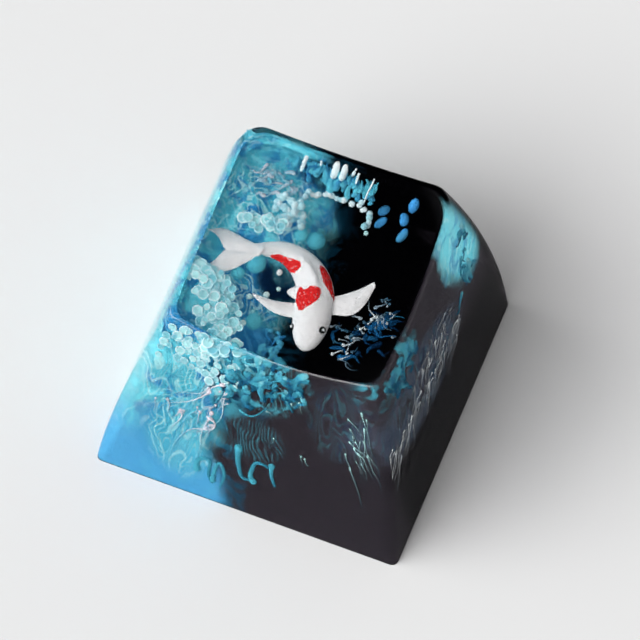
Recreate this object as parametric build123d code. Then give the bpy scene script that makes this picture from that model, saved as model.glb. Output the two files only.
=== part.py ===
"""Tall sculpted one-unit keycap cast in resin: a clear pour round a koi figure, on a dyed pour with the stem.

Frame: the skirt's rim stands on z = 0 about the origin, +X is the typist's right, +Y the back row, +Z up.
"""

import os
from math import cos, pi, radians, sin, sqrt

from build123d import *

# Outer form, in millimetres and degrees.
skirt_width = 18.4          # square skirt on the usual 19.05 mm key pitch
top_width = 12.15           # top between its corners, left to right
top_length = 11.8           # top between its corners, front to back along the slope
top_height = 13.05          # plane through the top's corners, over the rim
top_tilt = 13.0             # slope of the top towards the typist
top_setback = 1.2           # top's centre behind the skirt's centre
wall_bulge = 0.42           # how far the walls stand out of a straight taper, half way up
skirt_corner = 0.4          # corner radius at the rim
front_corner = 0.55         # corner radius at the top's front
back_corner = 1.4           # corner radius at the top's back
dish_radius = 29.0          # spherical finger dish
dish_depth = 1.55           # dish below the plane through the corners
edge_break = 0.2            # rounding round the dish

# Underside.
wall_thickness = 1.5        # both pours together
jacket_thickness = 0.3      # clear pour on the walls, outside the dyed pour
roof_thickness = 2.8        # dyed pour between the hollow's ceiling and its own crest
ceiling_round = 0.5
post_diameter = 5.5
post_recess = 0.8           # post's end above the rim
post_round = 0.4            # post's root at the ceiling
cross_length = 4.1          # both arms of the cross socket
cross_across = 1.3          # width of the arm that runs left to right
cross_along = 1.2           # width of the arm that runs front to back
cross_depth = 4.2
cross_lead = 0.15           # lead-in at the socket's mouth

# Koi figure and the resin about it.
koi_length = 12.0           # along the curved back, snout to tail tips
koi_girth = 2.15            # widest across the shoulders
koi_flatness = 0.66         # body height as a share of its width
koi_shoulder = 0.3          # place of the widest girth along the body from the snout
koi_wrist = 0.45            # width where the tail fin starts
koi_cover = 0.45            # clear resin between the dish's lowest level and the koi's back
koi_underlay = 0.55         # clear resin between the koi's belly and the dyed pour
koi_tail_lift = 0.9         # how far the koi's tail end swims higher than its head
fin_thickness = 0.26
eye_radius = 0.2
dorsal_height = 0.28
dorsal_thickness = 0.22
pour_radius = 24.0          # rounded floor of the koi's pool in the dyed pour
pour_round = 0.3            # rounding where that floor meets the lined walls
lining_thickness = 0.3      # dyed pour that has crept up the walls
lining_cover = 0.35         # clear resin between that lining's crest and the dish
lining_round = 0.1          # rounding of that crest
bank_radius = 22.0          # rounded bank of the dyed pour along the left wall
bank_cover = 1.0            # clear resin over the bank at the left edge of the top
bank_toe = 1.0              # foot of the bank, left of the cap's middle
tail_pool_radius = 6.0      # clear pool cut into the bank about the koi's tail
tail_pool_depth = 0.3       # clear resin under the tail fin


def wall_section(progress, inset=0.0):
    """Outline of the cap at a share of the top's height, leaning as it rises, rounder where it is inset."""
    lean = radians(top_tilt) * progress
    plane = Plane(
        origin=(0, top_setback * progress, top_height * progress),
        x_dir=(1, 0, 0),
        z_dir=(0, -sin(lean), cos(lean)),
    )
    swell = 4 * wall_bulge * progress * (1 - progress) - inset
    across = skirt_width + (top_width - skirt_width) * progress + 2 * swell
    along = skirt_width + (top_length - skirt_width) * progress + 2 * swell
    outline = Rectangle(across, along)
    front_edge = outline.vertices().group_by(Axis.Y)[0]
    outline = fillet(front_edge, skirt_corner + (front_corner - skirt_corner) * progress + inset)
    back_edge = outline.vertices().group_by(Axis.Y)[-1]
    outline = fillet(back_edge, skirt_corner + (back_corner - skirt_corner) * progress + inset)
    return plane * outline


def tower(inset=0.0):
    """Body between the walls, taller than the cap."""
    return loft([wall_section(step / 4, inset) for step in range(4)] + [wall_section(1.1, inset)])


# Outer form with its dish.
lean = radians(top_tilt)
dish_rise = dish_radius - dish_depth
dish_centre = (0, top_setback - dish_rise * sin(lean), top_height + dish_rise * cos(lean))
seam_above = Rot(0, -90, 0)  # turns a sphere's seam to its upper half
seam_below = Rot(0, 90, 0)
form = tower() - Pos(*dish_centre) * seam_above * Sphere(dish_radius)
dish_face = form.faces().filter_by(GeomType.SPHERE)[0]
form = fillet(dish_face.edges(), edge_break)
dish_low = dish_centre[2] - dish_radius

# Koi: a body lofted along a curved spine, with flat fins.
koi_rise = koi_girth * koi_flatness / 2
koi_level = dish_low - koi_cover - koi_rise


def at(across, along):
    """Point on the koi's level, given as shares of the koi's length from the cap's centre."""
    return (koi_length * across, koi_length * along)


spine = Spline(at(0.108, -0.271), at(0.079, -0.1), at(0.008, 0.088), at(-0.142, 0.167), at(-0.317, 0.1))


def koi_half_width(share):
    """Half the body's width at a share of its length: an elliptic head, then a cosine taper to the wrist."""
    if share < koi_shoulder:
        return koi_girth / 2 * sqrt(1 - (1 - share / koi_shoulder) ** 2)
    fall = (share - koi_shoulder) / (1 - koi_shoulder)
    return koi_wrist / 2 + (koi_girth - koi_wrist) / 2 * cos(pi / 2 * fall)


def koi_lift(share):
    """Height of the spine over the koi's level, all of it in the tail half."""
    return koi_tail_lift * max(0.0, share - 0.5) ** 2 * 4


def koi_plane(share, raised=0.0):
    """Plane across the spine, its own x level and its own y up."""
    here = spine @ share
    ahead = spine % share
    return Plane(
        origin=(here.X, here.Y, koi_level + koi_lift(share) + raised),
        x_dir=(-ahead.Y, ahead.X, 0),
        z_dir=(ahead.X, ahead.Y, 0),
    )


def koi_section(share):
    half = koi_half_width(share)
    return koi_plane(share) * Ellipse(half, half * koi_flatness)


def blade(edges, level):
    """Flat fin within a closed run of edges, centred on a level."""
    outline = Pos(0, 0, level - fin_thickness / 2) * make_face(edges)
    return extrude(outline, fin_thickness, dir=(0, 0, 1))


def side_fin(fore, aft, tip, fore_bow, aft_bow):
    """Leaf-shaped fin from its root line to its tip, each edge bowed through one point."""
    return blade(
        [Spline(fore, fore_bow, tip), Spline(tip, aft_bow, aft), Line(aft, fore)],
        koi_level,
    )


def dorsal_section(share, height):
    """Upright slice of the dorsal fin, half sunk in the back."""
    back = koi_half_width(share) * koi_flatness
    return koi_plane(share, back) * Ellipse(dorsal_thickness / 2, height)


body_shares = [0.03, 0.1, 0.2, 0.3, 0.42, 0.54, 0.66, 0.78, 0.89, 1.0]
snout = Vertex(*koi_plane(0).origin)
koi = loft([snout] + [koi_section(share) for share in body_shares])
koi += side_fin(at(0.11, -0.06), at(0.09, 0.025), at(0.29, 0.15), at(0.25, -0.01), at(0.21, 0.09))
koi += side_fin(at(0.04, -0.13), at(0.02, -0.04), at(-0.21, -0.11), at(-0.08, -0.155), at(-0.13, -0.055))
koi += side_fin(at(0.02, -0.02), at(-0.01, 0.06), at(-0.085, -0.01), at(-0.04, -0.03), at(-0.065, 0.02))
koi += blade(
    [
        Spline(at(-0.288, 0.125), at(-0.41, 0.19), at(-0.515, 0.15)),
        Spline(at(-0.515, 0.15), at(-0.46, 0.12), at(-0.43, 0.08)),
        Spline(at(-0.43, 0.08), at(-0.44, 0.025), at(-0.485, -0.038)),
        Spline(at(-0.485, -0.038), at(-0.375, 0.0), at(-0.288, 0.104)),
        Line(at(-0.288, 0.104), at(-0.288, 0.125)),
    ],
    koi_level + koi_lift(1),
)
tail_centre = (-0.408, 0.062)
dorsal_shares = [0.4, 0.46, 0.54]
koi += loft(
    [Vertex(*koi_plane(0.34, koi_rise * 0.9).origin)]
    + [dorsal_section(share, dorsal_height) for share in dorsal_shares]
    + [Vertex(*koi_plane(0.62, koi_rise * 0.7).origin)]
)
eye_share = 0.15
for side in (-1, 1):
    eye_out = side * koi_half_width(eye_share) * 0.82
    koi += koi_plane(eye_share) * Pos(eye_out, koi_rise * 0.45, 0) * Sphere(eye_radius)

# Dyed pour inside the clear jacket: it lines the walls, and the koi's pool in it has a bank at the left.
pour_crest = koi_level - koi_rise - koi_underlay
hill = Pos(0, 0, pour_crest - pour_radius) * seam_below * Sphere(pour_radius)
top_plane = Plane(origin=(0, top_setback, top_height), x_dir=(1, 0, 0), z_dir=(0, -sin(lean), cos(lean)))
dish_at_edge = dish_rise - sqrt(dish_radius**2 - (top_width / 2) ** 2)
bank_head = Vector(-top_width / 2, dish_at_edge - bank_cover)
bank_foot = Vector(-bank_toe, (pour_crest - top_height) * cos(lean))
bank_slope = bank_foot - bank_head
bank_drop = sqrt(bank_radius**2 - (bank_slope.length / 2) ** 2)
bank_axis = (bank_head + bank_foot) / 2 + bank_slope.rotate(Axis.Z, -90).normalized() * bank_drop
bank = top_plane * Pos(bank_axis.X, 0, bank_axis.Y) * Rot(90, 0, 0) * Cylinder(bank_radius, 2 * skirt_width)
pool = tower(jacket_thickness + lining_thickness) - hill - bank
hill_face = pool.faces().filter_by(GeomType.SPHERE)[0]
bank_face = pool.faces().filter_by(GeomType.CYLINDER)[0]
pool = fillet(hill_face.edges() + bank_face.edges(), pour_round)
tail_floor = koi_level + koi_lift(1) - fin_thickness / 2 - tail_pool_depth
tail_middle = at(*tail_centre)
tail_pool = Pos(*tail_middle, tail_floor + tail_pool_radius) * seam_above * Sphere(tail_pool_radius)
crest_ball = Pos(*dish_centre) * seam_above * Sphere(dish_radius + lining_cover)
dyed_pour = tower(jacket_thickness) - crest_ball - pool
crest_face = dyed_pour.faces().filter_by(GeomType.SPHERE).sort_by(Axis.Z)[-1]
dyed_pour = fillet(crest_face.edges(), lining_round) - tail_pool - koi
clear_pour = form - dyed_pour - koi

# Hollow underside with the switch post left standing in it.
ceiling_height = pour_crest - roof_thickness
post_top = ceiling_height + 1
post = Pos(0, 0, post_recess) * Cylinder(
    post_diameter / 2, post_top - post_recess, align=(Align.CENTER, Align.CENTER, Align.MIN)
)
below_ceiling = Box(
    skirt_width, skirt_width, ceiling_height, align=(Align.CENTER, Align.CENTER, Align.MIN)
)
hollow = tower(wall_thickness) & below_ceiling
ceiling_edges = hollow.faces().sort_by(Axis.Z)[-1].edges()
hollow = fillet(ceiling_edges, ceiling_round) - post
dyed_pour -= hollow
post_root = dyed_pour.edges().filter_by(GeomType.CIRCLE).filter_by_position(
    Axis.Z, ceiling_height - 0.01, ceiling_height + 0.01
)
dyed_pour = fillet(post_root, post_round)

# Cross socket with a lead-in at its mouth.
cross_align = (Align.CENTER, Align.CENTER, Align.MIN)
cross = Box(cross_length, cross_across, cross_depth, align=cross_align)
cross += Box(cross_along, cross_length, cross_depth, align=cross_align)
dyed_pour -= Pos(0, 0, post_recess) * cross
mouth = dyed_pour.edges().filter_by(GeomType.LINE).filter_by_position(
    Axis.Z, post_recess - 0.01, post_recess + 0.01
)
dyed_pour = chamfer(mouth, cross_lead)

os.makedirs("parts", exist_ok=True)
nodes = {"clear_pour": clear_pour, "dyed_pour": dyed_pour, "koi_figure": koi}
for name, shape in nodes.items():
    solid = shape.solid()
    solid.label = name
    export_step(solid, f"parts/{name}.step")
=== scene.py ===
"""Looks of a cast resin keycap: a clear skin over a dyed pour, with a painted koi and drifting inks."""

import logging
import math
from dataclasses import dataclass
from enum import Enum
from typing import Sequence, Union

import bpy
import numpy as np
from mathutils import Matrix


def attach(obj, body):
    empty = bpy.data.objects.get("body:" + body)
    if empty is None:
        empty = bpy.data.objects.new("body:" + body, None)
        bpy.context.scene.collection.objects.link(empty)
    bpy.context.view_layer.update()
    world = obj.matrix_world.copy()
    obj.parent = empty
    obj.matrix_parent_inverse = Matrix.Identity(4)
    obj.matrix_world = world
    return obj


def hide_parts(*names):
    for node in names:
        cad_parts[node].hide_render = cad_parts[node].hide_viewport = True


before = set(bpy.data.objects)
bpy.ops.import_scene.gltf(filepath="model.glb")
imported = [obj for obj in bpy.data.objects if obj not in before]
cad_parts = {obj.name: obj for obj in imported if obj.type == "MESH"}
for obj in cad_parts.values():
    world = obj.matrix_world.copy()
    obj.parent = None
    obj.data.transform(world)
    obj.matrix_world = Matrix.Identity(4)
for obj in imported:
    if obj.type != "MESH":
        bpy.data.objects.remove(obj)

LOG = logging.getLogger("keycap")
MM = 0.001
Number = Union[float, "Value"]


class Ink(Enum):
    """Colours of the resins, inks and paints, as they look on screen."""

    SKY = (74, 156, 202)
    CYAN = (104, 206, 222)
    TURQUOISE = (74, 168, 188)
    OCEAN = (36, 112, 168)
    TEAL = (20, 84, 112)
    DEEP = (8, 34, 62)
    BLACK = (2, 2, 3)
    SMOKE = (43, 39, 45)
    HAZE = (66, 62, 70)
    SLATE = (92, 104, 126)
    MINT = (186, 234, 232)
    CHALK = (238, 246, 246)
    ROSE_WHITE = (226, 214, 220)
    BLUE = (74, 164, 234)
    KOI_WHITE = (250, 249, 249)
    KOI_GREY = (214, 215, 217)
    KOI_RED = (224, 38, 40)
    EYE = (6, 6, 8)
    FLOOR = (240, 240, 240)

    @property
    def linear(self) -> np.ndarray:
        """The colour in linear light."""
        share = np.array(self.value) / 255.0
        return np.where(share <= 0.04045, share / 12.92, ((share + 0.055) / 1.055) ** 2.4)

    @property
    def rgba(self) -> tuple[float, float, float, float]:
        """The colour in linear light with full opacity, as a socket takes it."""
        red, green, blue = self.linear
        return (float(red), float(green), float(blue), 1.0)


class Spot(Enum):
    """Ovals of colour in the dyed pour: middle and half lengths over two coordinates, in millimetres."""

    VEIL = ((-4.2, 3.7), (2.6, 3.1))
    GAPS = ((-1.9, 8.6), (1.9, 2.2))
    STREAMS = ((-4.9, 6.6), (2.8, 3.0))
    HOLLOW = ((-1.7, 0.4), (1.6, 1.3))
    REAR = ((-1.0, 11.0), (2.6, 2.2))
    HEAD_VEILS = ((-1.6, -3.4), (1.9, 1.5))
    BACK_PATCH = ((6.2, 11.6), (3.2, 4.0))
    EDGE_PATCH = ((-3.0, 10.6), (2.8, 1.6))
    HAZE = ((-1.4, 7.4), (6.0, 2.6))
    STRIP = ((-0.2, 9.2), (3.2, 2.2))
    CORNER = ((4.6, 8.4), (2.2, 3.0))
    CURTAIN = ((-0.4, 5.3), (2.4, 1.7))
    SUNLIT = ((6.4, 11.6), (3.8, 4.6))


class Value:
    """A number socket that takes part in Python arithmetic by adding Math nodes."""

    def __init__(self, shader: "Shader", socket: bpy.types.NodeSocket) -> None:
        """Wraps one output socket of a shader's node tree."""
        self.shader = shader
        self.socket = socket

    def _math(self, operation: str, first: Number, second: Number = 0.0, third: Number = 0.0) -> "Value":
        """Adds one Math node.

        Args:
            operation: Name of the Math node's operation.
            first, second, third: Numbers or values for its sockets.

        Returns:
            The node's result.
        """
        return self.shader.node("Math", {"operation": operation}, {0: first, 1: second, 2: third})

    def __add__(self, other: Number) -> "Value":
        """Sum."""
        return self._math("ADD", self, other)

    def __radd__(self, other: Number) -> "Value":
        """Sum with a plain number first."""
        return self._math("ADD", other, self)

    def __sub__(self, other: Number) -> "Value":
        """Difference."""
        return self._math("SUBTRACT", self, other)

    def __rsub__(self, other: Number) -> "Value":
        """Difference from a plain number."""
        return self._math("SUBTRACT", other, self)

    def __mul__(self, other: Number) -> "Value":
        """Product."""
        return self._math("MULTIPLY", self, other)

    def __rmul__(self, other: Number) -> "Value":
        """Product with a plain number first."""
        return self._math("MULTIPLY", other, self)

    def __truediv__(self, other: Number) -> "Value":
        """Quotient."""
        return self._math("DIVIDE", self, other)

    def __rtruediv__(self, other: Number) -> "Value":
        """Quotient with a plain number first."""
        return self._math("DIVIDE", other, self)

    def low(self, other: Number) -> "Value":
        """The smaller of the two."""
        return self._math("MINIMUM", self, other)

    def high(self, other: Number) -> "Value":
        """The larger of the two."""
        return self._math("MAXIMUM", self, other)

    def sine(self) -> "Value":
        """Sine of the value."""
        return self._math("SINE", self)

    def root(self) -> "Value":
        """Square root of the value."""
        return self._math("SQRT", self)

    def step(self, start: float, end: float) -> "Value":
        """Smooth step.

        Args:
            start: Value at which the result is 0.
            end: Value at which the result is 1.

        Returns:
            A value from 0 to 1.
        """
        settings = {"interpolation_type": "SMOOTHSTEP", "clamp": True}
        if start <= end:
            return self.shader.node("MapRange", settings, {0: self, 1: start, 2: end, 3: 0.0, 4: 1.0})
        return self.shader.node("MapRange", settings, {0: self, 1: end, 2: start, 3: 1.0, 4: 0.0})


class Shader:
    """Node tree of one material or world, written from its inputs to its output."""

    def __init__(self, owner: Union[bpy.types.Material, bpy.types.World]) -> None:
        """Empties the owner's node tree.

        Args:
            owner: Material or world.
        """
        owner.use_nodes = True
        self.tree = owner.node_tree
        self.tree.nodes.clear()

    def raw(self, kind: str, settings: dict, sockets: dict) -> bpy.types.Node:
        """Adds any node.

        Args:
            kind: Node type without its ShaderNode prefix.
            settings: Properties of the node, set before its sockets.
            sockets: Input name or index to a number, colour, Value or socket.

        Returns:
            The node.
        """
        node = self.tree.nodes.new("ShaderNode" + kind)
        for name, setting in settings.items():
            setattr(node, name, setting)
        for name, value in sockets.items():
            socket = node.inputs[name]
            if isinstance(value, Value):
                self.tree.links.new(value.socket, socket)
            elif isinstance(value, bpy.types.NodeSocket):
                self.tree.links.new(value, socket)
            else:
                socket.default_value = value
        return node

    def node(self, kind: str, settings: dict, sockets: dict, output: Union[int, str] = 0) -> Value:
        """Adds any node and wraps one of its outputs."""
        return Value(self, self.raw(kind, settings, sockets).outputs[output])

    def place(self) -> Value:
        """Object coordinates in millimetres."""
        coords = self.node("TexCoord", {}, {}, "Object")
        return self.node("VectorMath", {"operation": "SCALE"}, {0: coords, "Scale": 1 / MM})

    def split(self, vector: Value) -> tuple[Value, Value, Value]:
        """The three parts of a vector."""
        across, along, up = self.raw("SeparateXYZ", {}, {0: vector}).outputs
        return Value(self, across), Value(self, along), Value(self, up)

    def carried(self, name: str, output: str = "Fac") -> Value:
        """An attribute that the mesh carries: its mask as a number, or its tint as a colour."""
        return self.node("Attribute", {"attribute_name": name}, {}, output)

    def noise(self, place: Value, scale: float, detail: float = 3.0, twist: float = 0.0) -> bpy.types.Node:
        """Noise over a place in millimetres.

        Args:
            place: Coordinates.
            scale: Features in each millimetre.
            detail: Octaves.
            twist: Distortion.

        Returns:
            The noise node, with a number and a colour output.
        """
        sockets = {"Vector": place, "Scale": scale, "Detail": detail, "Distortion": twist}
        return self.raw("TexNoise", {}, sockets)

    def blur(self, place: Value, scale: float, detail: float = 3.0, twist: float = 0.0) -> Value:
        """Noise as a number about one half."""
        return Value(self, self.noise(place, scale, detail, twist).outputs[0])

    def warp(self, place: Value, scale: float, reach: float) -> Value:
        """Place moved about by noise, up to a reach in millimetres.

        Args:
            place: Coordinates.
            scale: Features in each millimetre.
            reach: Farthest move.

        Returns:
            The moved coordinates.
        """
        noise = Value(self, self.noise(place, scale, 2.0).outputs[1])
        centred = self.node("VectorMath", {"operation": "SUBTRACT"}, {0: noise, 1: (0.5, 0.5, 0.5)})
        moved = self.node("VectorMath", {"operation": "SCALE"}, {0: centred, "Scale": 2 * reach})
        return self.node("VectorMath", {"operation": "ADD"}, {0: place, 1: moved})

    def mix(self, share: Number, first: object, second: object, blend: str = "MIX") -> Value:
        """Blends two colours, each an Ink or a colour value.

        Args:
            share: How much of the second.
            first, second: The colours.
            blend: Name of the blend.

        Returns:
            The blended colour.
        """
        ends = [tint.rgba if isinstance(tint, Ink) else tint for tint in (first, second)]
        settings = {"data_type": "RGBA", "blend_type": blend, "clamp_factor": True}
        return self.node("Mix", settings, {0: share, 6: ends[0], 7: ends[1]}, 2)

    def surface(self, sockets: dict) -> None:
        """Ends a material in one Principled shader with the given sockets."""
        principled = self.raw("BsdfPrincipled", {}, sockets)
        self.raw("OutputMaterial", {}, {"Surface": principled.outputs[0]})


@dataclass(frozen=True)
class ClearResin:
    """Clear casting resin: polished on the dish, satin on the walls, with a lacquered edge between them.

    The index is lower than a real resin's 1.5, so that what is set in it shows as bright as in a well lit
    photograph. The walls mirror less than the dish, apart from the left one.
    """

    index: float = 1.2
    dish_roughness: float = 0.01
    wall_roughness: float = 0.04
    smear_scale: float = 2.5
    wall_dullness: float = 0.65
    dull_from: tuple[float, float] = (-7.4, -6.0)

    def material(self) -> bpy.types.Material:
        """Builds the resin's material."""
        made = bpy.data.materials.new("clear_resin")
        shader = Shader(made)
        clear = (1.0, 1.0, 1.0, 1.0)
        wall = shader.carried("mask")
        smear = shader.blur(shader.place(), self.smear_scale)
        satin = self.dish_roughness + wall * (self.wall_roughness - self.dish_roughness) * (0.7 + 0.6 * smear)
        gloss = shader.raw("BsdfPrincipled", {}, {
            "Base Color": clear,
            "Roughness": satin,
            "IOR": self.index,
            "Transmission Weight": 1.0,
            "Coat Weight": (4.0 * wall * (1.0 - wall)).low(1.0),
        })
        dull = shader.raw("BsdfRefraction", {}, {"Color": clear, "Roughness": satin, "IOR": self.index})
        across, _, _ = shader.split(shader.place())
        share = wall.step(0.9, 1.0) * across.step(*self.dull_from) * self.wall_dullness
        both = shader.raw("MixShader", {}, {0: share, 1: gloss.outputs[0], 2: dull.outputs[0]})
        shader.raw("OutputMaterial", {}, {"Surface": both.outputs[0]})
        return made


@dataclass(frozen=True)
class DyedResin:
    """Dyed pour: sky blue at the left, running through turquoise clouds into black at the right.

    A slight glow stands in for the light that scatters about inside the resin, and is stronger where the
    light falls through the back of the right wall.
    """

    glow: float = 0.2
    sunlit_glow: float = 0.5
    right_from: tuple[float, float] = (4.4, 5.6)
    shore: float = -1.55
    shore_reach: float = 1.5
    shore_slope: float = 0.14
    stripe: float = 0.26

    def oval(self, first: Value, second: Value, spot: Spot) -> Value:
        """Soft oval mask over two coordinates.

        Args:
            first, second: Coordinates in millimetres.
            spot: The oval.

        Returns:
            A value of 1 in the middle and 0 outside.
        """
        centre, size = spot.value
        away, up = (first - centre[0]) / size[0], (second - centre[1]) / size[1]
        return (away * away + up * up).step(1.0, 0.3)

    def contours(self, shader: Shader, place: Value, lean: float, scale: float, count: float) -> Value:
        """Nested flowing lines: level lines of warped noise that is drawn out down the wall.

        Args:
            shader: Shader that takes the nodes.
            place: Coordinates in millimetres.
            lean: Angle in radians by which the flow leans to the left on its way down.
            scale: Features in each millimetre across the flow.
            count: Lines over the noise's whole range.

        Returns:
            A value of 1 on the lines.
        """
        across, along, up = shader.split(shader.warp(place, 0.4, 0.6))
        level_way = across + along
        over = level_way * math.cos(lean) - up * math.sin(lean)
        down = level_way * math.sin(lean) + up * math.cos(lean)
        drawn = shader.node("CombineXYZ", {}, {0: over, 1: down * 0.24, 2: 0.0})
        return (shader.blur(drawn, scale, 1.0) * (2 * math.pi * count)).sine().step(0.5, 1.0)

    def bright(self, shader: Shader, place: Value, drift: Value) -> Value:
        """Colour of the blue side: sky below, turquoise clouds and pale lines above, veils by the koi, and a
        painted reflection that pales the left wall.

        Args:
            shader: Shader that takes the nodes.
            place, drift: Coordinates, still and warped.

        Returns:
            The colour.
        """
        across, along, up = shader.split(place)
        _, _, drift_up = shader.split(drift)
        height = drift_up.step(1.8, 5.6)
        cloud = shader.blur(drift, 0.5, 4.0, 0.8)
        body = shader.mix(height, Ink.SKY, Ink.TURQUOISE)
        body = shader.mix(cloud.step(0.5, 0.62) * (0.1 + 0.75 * height), body, Ink.OCEAN)
        body = shader.mix(cloud.step(0.46, 0.36) * (0.1 + 0.8 * height), body, Ink.CYAN)
        front = (along + 4.0).step(0.0, -1.5)
        veil = self.oval(across, up, Spot.VEIL) * front
        body = shader.mix(veil * (0.4 + 0.5 * cloud), body, Ink.TURQUOISE)
        gaps = self.oval(across, up, Spot.GAPS) * front
        body = shader.mix(gaps * cloud.step(0.4, 0.56), body, Ink.DEEP)
        lines = self.contours(shader, place, lean=0.45, scale=0.55, count=11.0)
        fine = self.contours(shader, place, lean=0.6, scale=0.6, count=30.0)
        streams = self.oval(across, up, Spot.STREAMS) * front
        patchy = shader.blur(drift, 0.4, 2.0).step(0.42, 0.6)
        broad = (0.34 * veil + 0.22 * streams + 0.3 * patchy * height).low(0.45)
        body = shader.mix(lines * broad, body, Ink.MINT)
        body = shader.mix(fine * (0.3 * veil + 0.3 * streams).low(0.36), body, Ink.MINT)
        inner = up.step(7.4, 8.0) * (along + 4.9).step(-0.2, 0.3)
        stir = shader.warp(place, 0.5, 1.1)
        body = shader.mix(inner * shader.blur(stir, 0.6, 3.0).step(0.5, 0.6) * 0.75, body, Ink.OCEAN)
        flow = (shader.blur(stir, 0.55, 2.0) * (2 * math.pi * 12.0)).sine().step(0.2, 1.0)
        body = shader.mix(inner * flow * (0.12 + 0.4 * patchy), body, Ink.MINT)
        hollow = self.oval(across, along, Spot.HOLLOW) * inner
        body = shader.mix(hollow * cloud.step(0.3, 0.5), body, Ink.DEEP)
        rear = self.oval(across, up, Spot.REAR) * along.step(6.0, 6.6)
        body = shader.mix(rear * cloud.step(0.34, 0.5) * 0.85, body, Ink.DEEP)
        veils = self.oval(across, along, Spot.HEAD_VEILS) * inner
        body = shader.mix(veils * 0.85, body, Ink.OCEAN)
        body = shader.mix(veils * lines * 0.7, body, Ink.SKY)
        body = shader.mix(veils * patchy * cloud.step(0.44, 0.56) * 0.8, body, Ink.DEEP)
        # painted reflection of the bright left: the left wall paled to mint, with faint chalk lines
        pale = (across * -1.0).step(6.0, 7.6) * along.step(-8.6, -4.6) * (0.5 + 0.5 * cloud.step(0.4, 0.56))
        body = shader.mix(pale * 0.65, body, Ink.MINT)
        return shader.mix(pale * lines * 0.16, body, Ink.CHALK)

    def dark(self, shader: Shader, place: Value, drift: Value, reach: Value) -> Value:
        """Colour of the dark side: black, smoky near the shore, cyan patches and pale lines on the walls.

        Args:
            shader: Shader that takes the nodes.
            place, drift: Coordinates, still and warped.
            reach: Distance from the shore into the dark.

        Returns:
            The colour.
        """
        across, along, up = shader.split(place)
        _, drift_along, drift_up = shader.split(shader.warp(place, 0.9, 0.7))
        outside = shader.carried("mask")
        smoke = shader.blur(drift, 0.8, 4.0, 1.0)
        right = across.step(*self.right_from) * outside
        hollow = up.step(6.9, 6.2)
        tone = shader.mix(outside.high(hollow), Ink.BLACK, Ink.SMOKE)
        tone = shader.mix(right * along.step(-7.5, -6.0) * up.step(7.4, 4.6) * 0.8, tone, Ink.BLACK)
        tone = shader.mix(right * up.step(5.0, 8.0) * (0.3 + 0.7 * smoke) * 0.7, tone, Ink.HAZE)
        fringe = reach.step(2.2, 0.2) * smoke.step(0.44, 0.62)
        tone = shader.mix(fringe * (0.35 + 0.5 * outside), tone, Ink.TEAL)
        back_patch = self.oval(drift_along, drift_up, Spot.BACK_PATCH) * right
        edge_patch = self.oval(drift_along, drift_up, Spot.EDGE_PATCH) * right
        haze = self.oval(along, up, Spot.HAZE) * right
        front = (along + 3.6).step(0.0, -1.0) * outside
        strip = self.oval(across, up, Spot.STRIP) * front
        corner = self.oval(across, up, Spot.CORNER) * front
        curtain = self.oval(across, up, Spot.CURTAIN) * front
        lines = self.contours(shader, place, lean=0.2, scale=0.8, count=13.0)
        sway = across + 0.25 * up + 2.4 * shader.blur(place, 0.45, 2.0)
        stripes = (sway * (2 * math.pi / self.stripe)).sine().step(-0.6, 1.0) * smoke.step(0.3, 0.6)
        tone = shader.mix(back_patch, tone, Ink.CYAN)
        tone = shader.mix(back_patch * drift_up.step(8.5, 12.0) * 0.1, tone, Ink.MINT)
        tone = shader.mix(back_patch * smoke.step(0.46, 0.6) * 0.6, tone, Ink.OCEAN)
        tone = shader.mix(back_patch * lines * 0.4, tone, Ink.MINT)
        tone = shader.mix(((edge_patch + 0.8 * strip) * smoke.step(0.46, 0.64)).low(1.0), tone, Ink.TURQUOISE)
        tone = shader.mix((0.25 * corner + haze).low(1.0) * smoke.step(0.36, 0.54) * 0.5, tone, Ink.SLATE)
        tone = shader.mix((corner + haze).low(1.0) * smoke.step(0.5, 0.7) * 0.7, tone, Ink.DEEP)
        tone = shader.mix((0.25 * strip + 0.1 * haze + 0.08 * corner) * lines, tone, Ink.CYAN)
        return shader.mix(curtain * stripes * 0.34, tone, Ink.TURQUOISE)

    def material(self) -> bpy.types.Material:
        """Builds the pour's material."""
        made = bpy.data.materials.new("dyed_resin_swirl")
        shader = Shader(made)
        place = shader.place()
        drift = shader.warp(place, 0.24, self.shore_reach)
        across, along, up = shader.split(place)
        drift_across, _, _ = shader.split(drift)
        rise = self.shore_slope * (up - 3.0).high(0.0)
        turn = 0.16 * (along - 2.0).high(0.0) - 0.9 * (along - 5.2).high(0.0)
        bay = 1.3 * up.step(1.2, 3.6) * up.step(7.2, 5.2) * along.step(-5.5, -7.0)
        reach = drift_across - rise - turn + bay - self.shore
        blue = reach.step(0.7, -0.9)
        dark = self.dark(shader, place, drift, reach)
        bright = self.bright(shader, place, drift)
        colour = shader.mix(blue, dark, bright)
        grain = shader.blur(place, 9.0, 2.0)
        sunlit = self.oval(along, up, Spot.SUNLIT) * across.step(*self.right_from)
        calm = self.glow / self.sunlit_glow
        shader.surface({
            "Base Color": colour,
            "Roughness": 0.5 + 0.2 * grain,
            "Specular IOR Level": 0.0,
            "Emission Color": shader.mix(calm + (1 - calm) * sunlit, Ink.BLACK, colour),
            "Emission Strength": self.sunlit_glow,
        })
        return made


@dataclass(frozen=True)
class InkFinish:
    """Opaque ink set in resin: its strands carry its colours, with a slight painted glow that stands in for
    light scattered inside the resin.
    """

    name: str
    glow: float = 0.2
    marbling: float = 0.3

    def material(self) -> bpy.types.Material:
        """Builds the ink's material."""
        made = bpy.data.materials.new(self.name)
        shader = Shader(made)
        tint = shader.carried("tint", "Color")
        marble = shader.blur(shader.warp(shader.place(), 1.2, 0.4), 2.2)
        shade = shader.mix(marble.step(0.45, 0.8) * self.marbling, tint, Ink.OCEAN)
        shader.surface({
            "Base Color": shade,
            "Roughness": 0.5 + 0.25 * marble,
            "Specular IOR Level": 0.0,
            # painted glow: the ink's own colour emitted, standing in for light scattered inside the resin
            "Emission Color": shade,
            "Emission Strength": self.glow,
        })
        return made


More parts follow.
